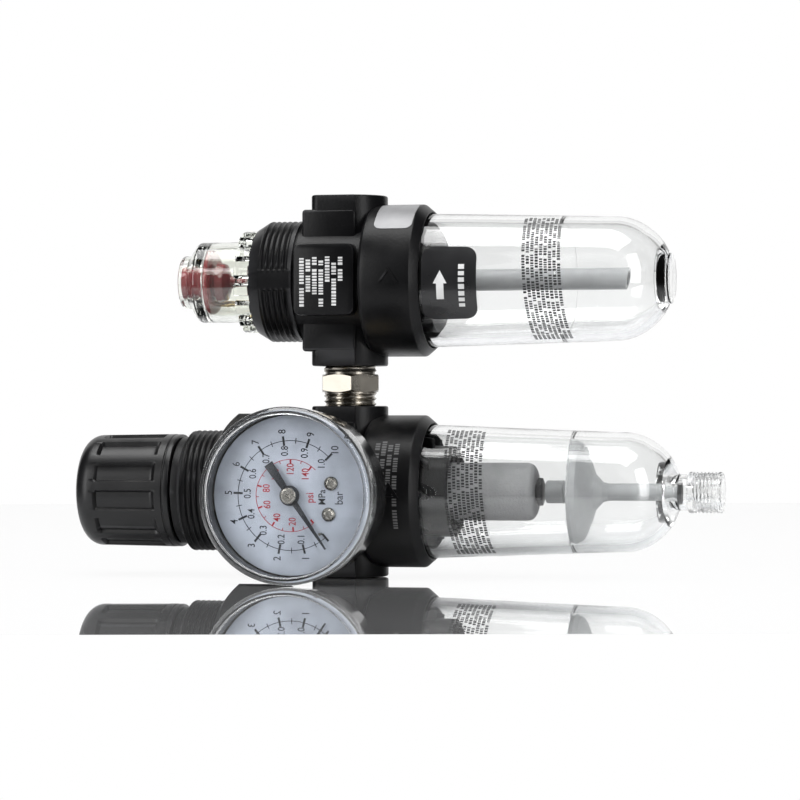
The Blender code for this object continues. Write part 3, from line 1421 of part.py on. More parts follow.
def movement_link(material, pivot):
    """Bar from the sector's tail to the free end of the tube; its origin is the tail's pin."""
    tail = polar(SECTOR_TAIL, sector_tail_angle(), (gear_distance(), 0))
    tip_angle = TUBE_START - TUBE_SWEEP + math.tau - 2.6 * PIVOT_RADIUS / TUBE_RADIUS - GAP / TUBE_RADIUS
    tip = polar(TUBE_RADIUS, tip_angle)
    run = (tip[0] - tail[0], tip[1] - tail[1])
    direction = math.degrees(math.atan2(run[1], run[0]))
    eye = 1.5 * PIVOT_RADIUS
    outline = arc((0, 0), eye, direction + 90, direction + 270, 6) + arc(run, eye, direction - 90, direction + 90, 6)
    left = GEAR_LEFT + GEAR_THICKNESS + GAP
    return prism("movement_link", outline, left, left + LINK_THICKNESS, material, pivot)


def movement_frame(material, axis):
    """Two plates on four posts; they carry the shafts, and the dial is screwed to the front one."""
    pivot_y = gear_distance()
    left, right = -5 * PIVOT_RADIUS - FRAME_PLATE_THICKNESS, pivot_y + 3 * FRAME_PLATE_THICKNESS
    half = FRAME_HALF_WIDTH + 2.4 * FRAME_PLATE_THICKNESS
    outline = rectangle(left, right, -half, half)
    front = UPPER_PLATE_LEFT + FRAME_PLATE_THICKNESS
    frame = prism("movement_frame", outline, LOWER_PLATE_LEFT, LOWER_PLATE_LEFT + FRAME_PLATE_THICKNESS,
                  material, axis)
    join(frame, prism("movement_frame.front_plate", outline, UPPER_PLATE_LEFT, front, material, axis))
    for number, (y, side) in enumerate(((-5 * PIVOT_RADIUS, 1), (-5 * PIVOT_RADIUS, -1),
                                        (pivot_y, 1), (pivot_y, -1))):
        place = (y, side * (half - 1.5 * FRAME_PLATE_THICKNESS))
        join(frame, prism(
            f"movement_frame.post_{number + 1}", circle(place, PIVOT_RADIUS, 8),
            LOWER_PLATE_LEFT + GAP, front - GAP, material, axis,
        ))
    holes = [((0, 0), PINION_SHAFT_RADIUS + GAP), ((pivot_y, 0), PIVOT_RADIUS + GAP)]
    holes += [(place, DIAL_SCREW_SHANK_RADIUS + GAP) for place in DIAL_SCREWS]
    for number, (place, radius) in enumerate(holes):
        start = LOWER_PLATE_LEFT - OVERRUN if number < 2 else UPPER_PLATE_LEFT - GAP
        cut(frame, prism(
            f"movement_frame.hole_{number + 1}", circle(place, radius, 12), start, front + OVERRUN,
            material, axis,
        ))
    return frame


def gauge_dial(material, axis):
    left = DIAL_FRONT - DIAL_THICKNESS
    dial = turned("gauge_dial", sleeve(left, DIAL_FRONT, DIAL_RADIUS, DIAL_HOLE_RADIUS), material, axis)
    for number, place in enumerate(DIAL_SCREWS):
        cut(dial, prism(
            f"gauge_dial.hole_{number + 1}", circle(place, DIAL_SCREW_SHANK_RADIUS + GAP, 12),
            left - OVERRUN / 2, DIAL_FRONT + OVERRUN / 2, material, axis,
        ))
    return dial


def dial_screw(number, place, material, axis):
    head = DIAL_FRONT + GAP
    return turned(f"dial_screw_{number}", [
        (head - DIAL_SCREW_SHANK_LENGTH, 0),
        (head - DIAL_SCREW_SHANK_LENGTH, DIAL_SCREW_SHANK_RADIUS),
        (head, DIAL_SCREW_SHANK_RADIUS),
        (head, DIAL_SCREW_HEAD_RADIUS),
        (head + DIAL_SCREW_HEAD_HEIGHT / 2, DIAL_SCREW_HEAD_RADIUS),
        (head + DIAL_SCREW_HEAD_HEIGHT, DIAL_SCREW_HEAD_RADIUS / 2),
        (head + DIAL_SCREW_HEAD_HEIGHT, 0),
    ], material, axis, 16, location=(0, *place))


def stop_pin(material, axis):
    place = polar(STOP_PIN_CIRCLE, STOP_PIN_ANGLE)
    return turned("stop_pin", rod(
        DIAL_FRONT + GAP, POINTER_LEFT + 2 * POINTER_THICKNESS, STOP_PIN_RADIUS,
    ), material, axis, 10, location=(0, *place))


def pointer(material, axis):
    """Flat needle on a hub disc; its origin lies on the pinion's axis."""
    ahead, across = polar(1, POINTER_REST), polar(1, POINTER_REST + math.pi / 2)
    half_tail, half_root, half_tip = POINTER_TAIL_WIDTH / 2, POINTER_ROOT_WIDTH / 2, POINTER_TIP_WIDTH / 2
    shape = [
        (-POINTER_TAIL, -half_tail), (0, -half_root), (POINTER_LENGTH - half_tip, -half_tip),
        (POINTER_LENGTH, 0), (POINTER_LENGTH - half_tip, half_tip), (0, half_root), (-POINTER_TAIL, half_tail),
    ]
    outline = [(u * ahead[0] + v * across[0], u * ahead[1] + v * across[1]) for u, v in shape]
    right = POINTER_LEFT + POINTER_THICKNESS
    needle = prism("pointer", outline, POINTER_LEFT, right, material, axis)
    hub = turned("pointer.hub", rod(POINTER_LEFT - GAP, right + GAP, HUB_DISC_RADIUS), material, axis, COARSE)
    hole = turned("pointer.hole", rod(
        POINTER_LEFT - OVERRUN, right + OVERRUN, PINION_SHAFT_RADIUS + GAP / 2,
    ), material, axis, 12)
    return cut(join(needle, hub), hole)


def pointer_cap(material, axis):
    left = POINTER_LEFT + POINTER_THICKNESS + 2 * GAP
    return turned("pointer_cap", [
        (left, 0),
        (left, HUB_CAP_RADIUS),
        (left + HUB_CAP_HEIGHT / 2, HUB_CAP_RADIUS),
        (left + HUB_CAP_HEIGHT, HUB_CAP_RADIUS / 2),
        (left + HUB_CAP_HEIGHT, 0),
    ], material, axis, 16)


def gauge_port_plug(material, axis):
    """Plug of the rear gauge port, with a hexagon key recess; modelled about X, then turned to +Y."""
    front = PAD_HALF_DEPTH
    left = front - PLUG_LENGTH + 2 * GAP
    plug = turned("gauge_port_plug", [
        (left, 0),
        (left, GAUGE_PORT_RADIUS),
        (front - PORT_CHAMFER, GAUGE_PORT_RADIUS),
        (front, GAUGE_PORT_RADIUS - GAP),
        (front, 0),
    ], material, axis, COARSE, rotation=(0, 0, math.pi))
    key = prism(
        "gauge_port_plug.key", polygon(6, PLUG_KEY_RADIUS), front - PLUG_KEY_DEPTH, front + OVERRUN,
        material, axis, rotation=(0, 0, math.pi),
    )
    return cut(plug, key)


def build():
    remove_everything()
    black_metal = finish("black_casting", (0.012, 0.012, 0.013), 0.38)
    black_plastic = finish("black_acetal", (0.010, 0.010, 0.011), 0.30)
    gloss_black = finish("gloss_black", (0.008, 0.008, 0.009), 0.08)
    clear = finish("clear_polycarbonate", (0.90, 0.92, 0.93), 0.04, alpha=0.30)
    steel = finish("zinc_plated_steel", (0.50, 0.51, 0.53), 0.32, 1.0)
    brass = finish("brass", (0.62, 0.46, 0.20), 0.28, 1.0)
    nickel = finish("nickel_plated_brass", (0.55, 0.52, 0.46), 0.22, 1.0)
    rubber = finish("nitrile_rubber", (0.015, 0.015, 0.016), 0.75)
    grey = finish("grey_sintered_element", (0.30, 0.30, 0.31), 0.85)
    grey_plastic = finish("grey_plastic", (0.28, 0.29, 0.30), 0.45)
    red = finish("dark_red_plastic", (0.16, 0.008, 0.010), 0.30)
    white = finish("dial_face", (0.52, 0.55, 0.62), 0.50)

    middle_x = (KNOB_END + STUB_END) / 2
    middle_y = (max(SKIRT_RADIUS, PAD_HALF_DEPTH) - LENS_FRONT) / 2
    unit = empty("unit", location=(-middle_x, -middle_y, 0))
    filter_axis = empty("filter_axis", unit, (0, 0, PORT_REACH))
    oiler_axis = empty("oiler_axis", unit, (0, 0, PORT_REACH + AXIS_SPACING))
    nipple_height = AXIS_SPACING - NIPPLE_GAP_ABOVE - NIPPLE_HEX_HEIGHT / 2
    nipple_axis = empty("nipple_axis", unit, (0, 0, nipple_height))
    gauge_axis = empty("gauge_axis", filter_axis, (GAUGE_OFFSET_X, 0, 0), (0, 0, -math.pi / 2))
    sector_pivot = empty("sector_pivot", gauge_axis, (0, gear_distance(), 0))
    tail = polar(SECTOR_TAIL, sector_tail_angle())
    link_pivot = empty("link_pivot", sector_pivot, (0, *tail))

    regulator_body(black_metal, filter_axis)
    regulator_bonnet(black_plastic, filter_axis)
    adjusting_knob(black_plastic, filter_axis)
    adjusting_screw(brass, filter_axis)
    spring_nut(brass, filter_axis)
    plate_left = diaphragm_left() - GAP - PLATE_THICKNESS
    coil("main_spring", NUT_LEFT + NUT_LENGTH + GAP, plate_left - GAP, SPRING_RADIUS, SPRING_WIRE,
         SPRING_TURNS, steel, filter_axis)
    diaphragm_plate(brass, filter_axis)
    diaphragm(rubber, filter_axis)
    diaphragm_washer(steel, filter_axis)
    valve(brass, filter_axis)
    valve_seal(rubber, filter_axis)
    head_back = valve_head_left() + VALVE_SEAL_THICKNESS + VALVE_HEAD_LENGTH
    coil("valve_spring", head_back + GAP, guide_left() - GAP, VALVE_SPRING_RADIUS, VALVE_SPRING_WIRE,
         VALVE_SPRING_TURNS, steel, filter_axis, per_turn=10)
    valve_guide(black_plastic, filter_axis)
    filter_louver(black_plastic, filter_axis)
    filter_element(grey, filter_axis)
    element_retainer(black_plastic, filter_axis)
    drain_baffle(grey_plastic, filter_axis)
    drain_seal(rubber, filter_axis)
    filter_bowl(clear, filter_axis)
    ring_radius = BOWL_RADIUS + THREAD_GAP - GAP - BOWL_RING_SECTION
    seal("filter_bowl_ring", bowl_ring_place(), ring_radius, BOWL_RING_SECTION, rubber, filter_axis)
    gauge_port_plug(brass, gauge_axis)

    gauge_case(gloss_black, gauge_axis)
    gauge_lens(clear, gauge_axis)
    gauge_stem(brass, gauge_axis)
    bourdon_tube(brass, gauge_axis)
    movement_frame(brass, gauge_axis)
    pinion_shaft(steel, gauge_axis)
    sector_gear(brass, sector_pivot)
    movement_link(steel, link_pivot)
    gauge_dial(white, gauge_axis)
    for number, place in enumerate(DIAL_SCREWS):
        dial_screw(number + 1, place, nickel, gauge_axis)
    stop_pin(nickel, gauge_axis)
    pointer(black_plastic, gauge_axis)
    pointer_cap(nickel, gauge_axis)

    hex_nipple(nickel, nipple_axis)

    lubricator_body(black_metal, oiler_axis)
    sight_dome(clear, oiler_axis)
    spigot_end = NECK_END - GAP + DOME_SPIGOT_LENGTH
    seal("sight_dome_ring", spigot_end + GAP + DOME_RING_SECTION,
         DOME_SOCKET_RADIUS - GAP - DOME_RING_SECTION, DOME_RING_SECTION, rubber, oiler_axis)
    metering_screw(red, oiler_axis)
    metering_ring(rubber, oiler_axis)
    drip_nozzle(nickel, oiler_axis)
    oil_riser(grey_plastic, oiler_axis)
    venturi(black_plastic, oiler_axis)
    check_ball(steel, oiler_axis)
    siphon_tube(grey_plastic, oiler_axis)
    lubricator_bowl(clear, oiler_axis)
    seal("lubricator_bowl_ring", bowl_ring_place(), ring_radius, BOWL_RING_SECTION, rubber, oiler_axis)


build()
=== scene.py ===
import math
import random

import bmesh
import bpy
from mathutils import Matrix, Vector


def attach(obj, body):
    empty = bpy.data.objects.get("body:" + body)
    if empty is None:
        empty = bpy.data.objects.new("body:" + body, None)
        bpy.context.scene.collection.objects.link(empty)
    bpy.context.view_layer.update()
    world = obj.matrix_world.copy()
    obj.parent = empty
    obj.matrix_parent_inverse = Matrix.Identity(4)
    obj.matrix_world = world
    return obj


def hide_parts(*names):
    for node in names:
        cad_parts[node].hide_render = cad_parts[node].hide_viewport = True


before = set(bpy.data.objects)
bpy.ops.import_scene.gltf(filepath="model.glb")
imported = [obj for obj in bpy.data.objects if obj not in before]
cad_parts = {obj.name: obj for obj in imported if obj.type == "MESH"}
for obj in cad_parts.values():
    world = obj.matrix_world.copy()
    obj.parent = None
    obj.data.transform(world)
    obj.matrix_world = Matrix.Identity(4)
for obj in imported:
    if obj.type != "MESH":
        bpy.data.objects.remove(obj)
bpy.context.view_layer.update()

# Regulator casting
# A zinc die casting with black satin paint. The port line crosses it, the gauge screws into its
# front pad, the bonnet onto its threaded neck and the filter bowl into its skirt.

# The pieces' sizes are in millimetres, along X from the port line and outwards from a unit's axis.
MM = 0.001
PORT_LINE_X = -12.05
UNIT_Y = 16.15
FILTER_Z = 21.0
CAST_NECK = (-22.5, 13.1, 15.0, 2.9)
CAST_WAIST = (-12.2, 14.2)
CAST_SKIRT = (6.1, 21.2, 18.7)
CAST_SOCKET_RADIUS = 16.7
PAD_FACE = 15.8
PORT_REACH = 21.0
THREAD_PITCH = 1.4
PIPE_PITCH = 1.337
PIPE_RADIUS = 6.45
REGULATOR_HUB = (9.0, 15.0, 6.3, 4.0)


def rounded(profile, steps=3):
    """Points (along, radius) or (along, radius, fillet), with each fillet turned into a short arc."""
    points = []
    for index, corner in enumerate(profile):
        here = Vector(corner[:2])
        if len(corner) == 2:
            points.append(tuple(here))
            continue
        before = Vector(profile[index - 1][:2])
        after = Vector(profile[(index + 1) % len(profile)][:2])
        back = (before - here).normalized()
        ahead = (after - here).normalized()
        half = back.angle(ahead) / 2
        room = min((before - here).length, (after - here).length) * 0.49
        reach = min(corner[2] / math.tan(half), room)
        start = here + back * reach
        end = here + ahead * reach
        for step in range(steps + 1):
            t = step / steps
            points.append(tuple((1 - t) ** 2 * start + 2 * t * (1 - t) * here + t * t * end))
    return points


def turned(profile, steps=96, ripple=None, spin=0.0):
    """A bmesh turned about X. Points at radius 0 close its ends, otherwise the profile is a loop."""
    mesh = bmesh.new()
    rings = []
    for along, radius in profile:
        if radius <= 0:
            rings.append([mesh.verts.new((along, 0, 0))])
            continue
        ring = []
        for step in range(steps):
            angle = math.tau * step / steps + spin
            reach = radius + (ripple(along, angle, radius) if ripple else 0)
            ring.append(mesh.verts.new((along, reach * math.cos(angle), reach * math.sin(angle))))
        rings.append(ring)
    pairs = list(zip(rings, rings[1:]))
    if len(rings[0]) > 1:
        pairs.append((rings[-1], rings[0]))
    for first, second in pairs:
        for step in range(steps):
            after = (step + 1) % steps
            corners = [
                first[step % len(first)], first[after % len(first)],
                second[after % len(second)], second[step % len(second)],
            ]
            corners = [c for index, c in enumerate(corners) if c not in corners[:index]]
            if len(corners) > 2:
                mesh.faces.new(corners)
    bmesh.ops.recalc_face_normals(mesh, faces=mesh.faces)
    return mesh


def screw_thread(start, end, depth, pitch=THREAD_PITCH, relief=0.0):
    """A ripple for turned: the helical groove between start and end, running out at both ends.

    Relief is how far on each side of the parting line, in mm of arc, the thread is left out.
    """
    def ripple(along, angle, radius):
        turn = (along / pitch - angle / math.tau) % 1
        fade = min(1, max(0, (along - start) / pitch), max(0, (end - along) / pitch))
        if relief:
            aside = abs(math.sin(angle)) * radius if abs(math.cos(angle)) > 0.5 else radius
            fade *= min(1, max(0, (aside - relief) / 0.6))
            if aside < relief:
                return -depth * 0.35
        return -depth * fade * min(1, max(0, 1.6 - 3.2 * abs(turn - 0.5)))
    return ripple


def along_thread(start, end, radius, pitch=THREAD_PITCH, samples=10):
    """The profile points that a screw thread needs between start and end."""
    count = round(abs(end - start) / pitch * samples)
    return [(start + (end - start) * n / count, radius) for n in range(count + 1)]


def slab(low, high, corner):
    """A bmesh block between two corners, with rounded edges."""
    mesh = bmesh.new()
    bmesh.ops.create_cube(mesh, size=1)
    low = Vector(low)
    high = Vector(high)
    for vert in mesh.verts:
        vert.co = Vector((vert.co[n] + 0.5) * (high[n] - low[n]) + low[n] for n in range(3))
    if corner:
        bmesh.ops.bevel(
            mesh, geom=mesh.edges[:], offset=corner, segments=3, profile=0.5, affect="EDGES",
        )
    return mesh


def raised(outline, low, high, corner=0.0):
    """A bmesh prism: outline in X and Y, from low to high along Z, with its rims rounded."""
    mesh = bmesh.new()
    floor = [mesh.verts.new((x, y, low)) for x, y in outline]
    roof = [mesh.verts.new((x, y, high)) for x, y in outline]
    mesh.faces.new(floor[::-1])
    mesh.faces.new(roof)
    for a in range(len(outline)):
        b = (a + 1) % len(outline)
        mesh.faces.new((floor[a], floor[b], roof[b], roof[a]))
    bmesh.ops.recalc_face_normals(mesh, faces=mesh.faces)
    if corner:
        rims = [e for e in mesh.edges if abs(e.verts[0].co.z - e.verts[1].co.z) < 1e-6]
        bmesh.ops.bevel(mesh, geom=rims, offset=corner, segments=2, profile=0.5, affect="EDGES")
    return mesh


def arc(centre, radius, first, last, steps):
    return [
        (centre[0] + radius * math.cos(math.radians(first + (last - first) * n / steps)),
         centre[1] + radius * math.sin(math.radians(first + (last - first) * n / steps)))
        for n in range(steps + 1)
    ]


def plate(low, high, corner):
    """The outline of a rectangle with rounded corners."""
    return [
        *arc((low[0] + corner, low[1] + corner), corner, 180, 270, 5),
        *arc((high[0] - corner, low[1] + corner), corner, 270, 360, 5),
        *arc((high[0] - corner, high[1] - corner), corner, 0, 90, 5),
        *arc((low[0] + corner, high[1] - corner), corner, 90, 180, 5),
    ]


def place(name, mesh, z=FILTER_Z, turn=None, at=(0, 0, 0)):
    """A new object from a bmesh in millimetres, set on the axis of one of the two units."""
    if turn:
        bmesh.ops.transform(mesh, matrix=turn, verts=mesh.verts)
    shift = Vector(at) + Vector((PORT_LINE_X, UNIT_Y, z))
    bmesh.ops.translate(mesh, vec=shift, verts=mesh.verts)
    bmesh.ops.scale(mesh, vec=(MM, MM, MM), verts=mesh.verts)
    data = bpy.data.meshes.new(name)
    mesh.to_mesh(data)
    mesh.free()
    obj = bpy.data.objects.new(name, data)
    bpy.context.scene.collection.objects.link(obj)
    return obj


def settle(obj):
    """Turns an object's modifiers into its own mesh."""
    graph = bpy.context.evaluated_depsgraph_get()
    data = bpy.data.meshes.new_from_object(obj.evaluated_get(graph))
    obj.modifiers.clear()
    obj.data = data


def shape(obj, others, operation):
    """Adds other objects to obj, or takes them away, and removes them."""
    for other in others:
        modifier = obj.modifiers.new(operation.title(), "BOOLEAN")
        modifier.object = other
        modifier.operation = operation
        modifier.solver = "EXACT"
    settle(obj)
    for other in others:
        bpy.data.objects.remove(other, do_unlink=True)


def smooth(obj, degrees=32):
    obj.data.shade_smooth()
    obj.data.set_sharp_from_angle(angle=math.radians(degrees))
    return obj


def merge(obj, *others):
    """Joins other meshes to obj as loose shells of the same piece."""
    mesh = bmesh.new()
    mesh.from_mesh(obj.data)
    for other in others:
        mesh.from_mesh(other.data)
        bpy.data.objects.remove(other, do_unlink=True)
    mesh.to_mesh(obj.data)
    mesh.free()
    return obj


def fit(obj, material, slot, body, *nodes):
    """Gives a finished piece its material, the body it moves with and what it replaces; its slot is not
    used.
    """
    obj.data.materials.clear()
    obj.data.materials.append(material)
    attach(obj, body)
    if nodes:
        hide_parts(*nodes)


def cast_unit(name, z, hub):
    """One casting: neck, waist, skirt, pads, steps and port bosses, bored for its pipes.

    Hub is the radius, the end, the bore and the bore's start of the boss inside the skirt.
    """
    neck_end, rim, neck, chamfer = CAST_NECK
    pad_left, waist = CAST_WAIST
    skirt_left, skirt_right, skirt = CAST_SKIRT
    hub_radius, hub_end, hub_bore, bore_start = hub
    wall = rounded([
        (pad_left + 0.02, 0),
        (pad_left + 0.02, waist),
        (skirt_left, waist, 0.8),
        (skirt_left, skirt, 2.4),
        (skirt_right - 2.0, skirt, 0.6),
        (skirt_right, skirt - 1.7, 0.25),
        (skirt_right, CAST_SOCKET_RADIUS, 0.2),
        (7.0, CAST_SOCKET_RADIUS, 0.3),
        (7.0, hub_radius, 0.3),
        (hub_end, hub_radius, 0.5),
        (hub_end, hub_bore, 0.2),
        (bore_start, hub_bore, 0.2),
        (bore_start, 0),
    ])
    body = place(name, turned(wall), z)
    pad_outline = plate((-10.3, -8.7), (4.9, 8.7), 1.8)
    pad_block = raised(pad_outline, -PAD_FACE, PAD_FACE, 0.5)
    pad = place("pad", pad_block, z, Matrix.Rotation(math.pi / 2, 4, "X"))
    steps = place("steps", slab((-9.9, -9.3, -17.4), (3.8, 9.3, 17.4), 0.8), z)
    outline = [
        *arc((-5.8, -7.1), 2.0, 180, 270, 6), (3.6, -9.1), *arc((0, 0), 9.4, -67.5, 67.5, 28), (3.6, 9.1),
        *arc((-5.8, 7.1), 2.0, 90, 180, 6),
    ]
    bosses = place("bosses", raised(outline, -PORT_REACH, PORT_REACH, 0.5), z)
    shape(body, [pad, steps, bosses], "UNION")
    bores = []
    for sign in (1, -1):
        tap = screw_thread(0.2, 8.6, -0.45, PIPE_PITCH)
        bore = turned([
            (-1, 0), (-1, 7.6), (0.8, PIPE_RADIUS),
            *along_thread(1.0, 9.0, PIPE_RADIUS, PIPE_PITCH), (9.0, 0),
        ], 64, tap)
        face = Matrix.Translation((0, 0, sign * PORT_REACH)) @ Matrix.Rotation(sign * math.pi / 2, 4, "Y")
        bores.append(place("bore", bore, z, face))
    shape(body, bores, "DIFFERENCE")
    thread = screw_thread(neck_end + chamfer - 0.4, pad_left + 0.8, 0.62, relief=2.2)
    collar = [
        (neck_end, rim - 1.9), (neck_end, rim),
        *along_thread(neck_end + chamfer, pad_left, neck),
        (pad_left + 1.0, neck), (pad_left + 1.0, rim - 1.9),
    ]
    merge(body, place("collar", turned(collar, 240, thread), z))
    return smooth(body)


def new_group(name, inputs, outputs):
    """An empty shader node group with named inputs and outputs."""
    group = bpy.data.node_groups.new(name, "ShaderNodeTree")
    for label, kind, value in inputs:
        socket = group.interface.new_socket(label, in_out="INPUT", socket_type="NodeSocket" + kind)
        socket.default_value = value
    for label, kind in outputs:
        group.interface.new_socket(label, in_out="OUTPUT", socket_type="NodeSocket" + kind)
    return group, group.nodes.new("NodeGroupInput").outputs, group.nodes.new("NodeGroupOutput").inputs


def wire(tree, kind, sockets=(), **settings):
    """A node whose sockets take another node's output, or a plain number or colour."""
    made = tree.nodes.new("ShaderNode" + kind)
    for key, value in settings.items():
        setattr(made, key, value)
    for key, value in dict(sockets).items():
        if isinstance(value, bpy.types.NodeSocket):
            tree.links.new(value, made.inputs[key])
        else:
            made.inputs[key].default_value = value
    return made


def stretched(tree, value, low, high, new_low, new_high):
    return wire(tree, "MapRange", {0: value, 1: low, 2: high, 3: new_low, 4: new_high}).outputs[0]


def satin_skin():
    """Paint or moulded skin: orange peel, slight cloudiness, rubbed edges, dust on upward faces."""
    group, given, gives = new_group("satin_skin", [
        ("Colour", "Color", (0.02, 0.02, 0.02, 1)), ("Roughness", "Float", 0.4),
        ("Grain Size", "Float", 0.4), ("Dust", "Float", 0.1), ("Rubbed", "Float", 0.3),
    ], [("Colour", "Color"), ("Roughness", "Float"), ("Height", "Float")])
    where = wire(group, "TexCoord").outputs["Object"]
    scale = wire(group, "Math", {0: 1000.0, 1: given["Grain Size"]}, operation="DIVIDE").outputs[0]
    peel = wire(group, "TexNoise", {"Vector": where, "Scale": scale, "Detail": 3.0}).outputs["Fac"]
    cloud = wire(group, "TexNoise", {"Vector": where, "Scale": 110.0, "Detail": 5.0}).outputs["Fac"]
    form = wire(group, "NewGeometry").outputs
    facing = wire(group, "SeparateXYZ", {0: form["Normal"]}).outputs["Z"]
    lying = stretched(group, facing, 0.3, 1.0, 0.0, 1.0)
    specks = stretched(group, cloud, 0.45, 0.7, 0.0, 1.0)
    film = wire(group, "Math", {0: lying, 1: specks}, operation="MULTIPLY").outputs[0]
    dust = wire(group, "Math", {0: film, 1: given["Dust"]}, operation="MULTIPLY").outputs[0]
    edge = stretched(group, form["Pointiness"], 0.54, 0.64, 0.0, 1.0)
    rubbed = wire(group, "Math", {0: edge, 1: given["Rubbed"]}, operation="MULTIPLY").outputs[0]
    tone = stretched(group, cloud, 0.3, 0.7, 0.8, 1.2)
    toned = wire(group, "VectorMath", {0: given["Colour"], 3: tone}, operation="SCALE").outputs[0]
    worn = wire(
        group, "Mix", {0: rubbed, 6: toned, 7: (0.12, 0.12, 0.125, 1)}, data_type="RGBA",
    ).outputs[2]
    dusty = wire(
        group, "Mix", {0: dust, 6: worn, 7: (0.34, 0.33, 0.31, 1)}, data_type="RGBA",
    ).outputs[2]
    drift = stretched(group, cloud, 0.3, 0.7, -0.05, 0.05)
    rough = wire(group, "Math", {0: drift, 1: given["Roughness"]}, operation="ADD").outputs[0]
    group.links.new(dusty, gives["Colour"])
    group.links.new(rough, gives["Roughness"])
    group.links.new(peel, gives["Height"])
    return group


SATIN_SKIN = satin_skin()


def painted(name, colour, roughness, grain, relief, dust=0.1, rubbed=0.3, coat=0.0, metal=0.0, shine=0.5):
    """A material whose colour, roughness and fine relief come from the satin skin."""
    material = bpy.data.materials.new(name)
    material.use_nodes = True
    tree = material.node_tree
    shader = tree.nodes["Principled BSDF"]
    skin = wire(tree, "Group", node_tree=SATIN_SKIN)
    for label, value in (
        ("Colour", (*colour, 1)), ("Roughness", roughness), ("Grain Size", grain),
        ("Dust", dust), ("Rubbed", rubbed),
    ):
        skin.inputs[label].default_value = value
    bump = wire(tree, "Bump", {"Height": skin.outputs["Height"], "Distance": relief * MM})
    tree.links.new(skin.outputs["Colour"], shader.inputs["Base Color"])
    tree.links.new(skin.outputs["Roughness"], shader.inputs["Roughness"])
    tree.links.new(bump.outputs["Normal"], shader.inputs["Normal"])
    shader.inputs["Coat Weight"].default_value = coat
    shader.inputs["Metallic"].default_value = metal
    shader.inputs["Specular IOR Level"].default_value = shine
    return material


CAST_PAINT = painted(
    "cast_paint", (0.0045, 0.0045, 0.005), 0.34, 0.5, 0.035, dust=0.08, rubbed=0.3, shine=0.2,
)
regulator_casting = cast_unit("regulator_casting", FILTER_Z, REGULATOR_HUB)
shape(regulator_casting, [
    place("gauge_port", turned([
        (-7.0, 0), (-7.0, 5.15), (-0.5, 5.15), (0.3, 5.95), (1.0, 5.95), (1.0, 0),
    ], 64), FILTER_Z, Matrix.Rotation(side * math.pi / 2, 4, "Z"), (-2.9, side * PAD_FACE, 0))
    for side in (-1, 1)
], "DIFFERENCE")
smooth(regulator_casting)
fit(regulator_casting, CAST_PAINT, "casting", "root", "regulator_body")

# Inner pieces of the regulator
# The adjusting screw drives the spring nut, the main spring loads the diaphragm, and the diaphragm
# pushes the valve off its seat. Turned brass, zinc plated steel, nitrile rubber and acetal.
ZINC_PLATE = painted("zinc_plate", (0.62, 0.63, 0.64), 0.32, 0.2, 0.01, 0.0, 0.0, 0.0, 1.0)
TURNED_BRASS = painted("turned_brass", (0.68, 0.52, 0.26), 0.28, 0.25, 0.01, 0.0, 0.0, 0.0, 1.0)
NITRILE = painted("nitrile", (0.02, 0.02, 0.021), 0.55, 0.3, 0.03, 0.0, 0.0)
BLACK_ACETAL = painted("black_acetal", (0.006, 0.006, 0.0065), 0.42, 0.35, 0.02, 0.05, 0.2, shine=0.3)


def recoat(material, *names):
    """Gives CAD nodes that stay in sight their finish."""
    for name in names:
        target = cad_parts[name]
        target.data.materials.clear()
        target.data.materials.append(material)


recoat(ZINC_PLATE, "adjusting_screw", "main_spring", "valve_spring", "check_ball", "diaphragm_plate")
recoat(TURNED_BRASS, "spring_nut", "valve", "diaphragm_washer", "venturi", "gauge_stem")
recoat(NITRILE, "diaphragm", "valve_seal", "filter_bowl_ring", "lubricator_bowl_ring", "sight_dome_ring")
recoat(BLACK_ACETAL, "valve_guide", "gauge_port_plug")

# Air louver, filter element, retainer and umbrella baffle
# The louver spins the incoming air, the sintered polypropylene element hangs from its stud, and
# the umbrella keeps the water at the bottom quiet. The umbrella's stem closes the drain.
ALONG_AXIS = Matrix(((0, 0, 1, 0), (1, 0, 0, 0), (0, 1, 0, 0), (0, 0, 0, 1)))
LOUVER_LEFT = 17.3
LOUVER = (11.4, 27.0, 10.2)
FIN_COUNT = 10
ELEMENT = (18.8, 47.0, 7.1)
SINTERED = painted("sintered", (0.26, 0.26, 0.265), 0.8, 0.55, 0.22, 0.0, 0.0)
UMBRELLA_GREY = painted("umbrella_grey", (0.29, 0.295, 0.30), 0.45, 0.8, 0.02, 0.0, 0.0)


def six_corners(reach):
    """The outline of a hexagon, from its reach over a corner."""
    return [(reach * math.sin(math.tau * n / 6), reach * math.cos(math.tau * n / 6)) for n in range(6)]


def louver():
    radius, end, inner = LOUVER
    cup = place("louver", turned(rounded([
        (LOUVER_LEFT, 4.2), (LOUVER_LEFT, radius, 0.3), (end, radius - 0.3, 0.3), (end, inner, 0.2),
        (LOUVER_LEFT + 1.2, inner, 0.3), (LOUVER_LEFT + 1.2, 4.2),
    ])))
    fins = []
    for number in range(FIN_COUNT):
        fin = slab((-2.5, -0.42, 10.9), (2.5, 0.42, 13.5), 0.2)
        lean = Matrix.Rotation(math.radians(-35), 4, "Z")
        turn = Matrix.Rotation(math.tau * number / FIN_COUNT - math.pi / 2, 4, "X")
        shift = Matrix.Translation((LOUVER_LEFT + 3.1, 0, 0))
        fins.append(place("fin", fin, FILTER_Z, shift @ turn @ lean))
    return smooth(merge(cup, *fins))


fit(louver(), BLACK_ACETAL, "black_plastic", "root", "filter_louver")

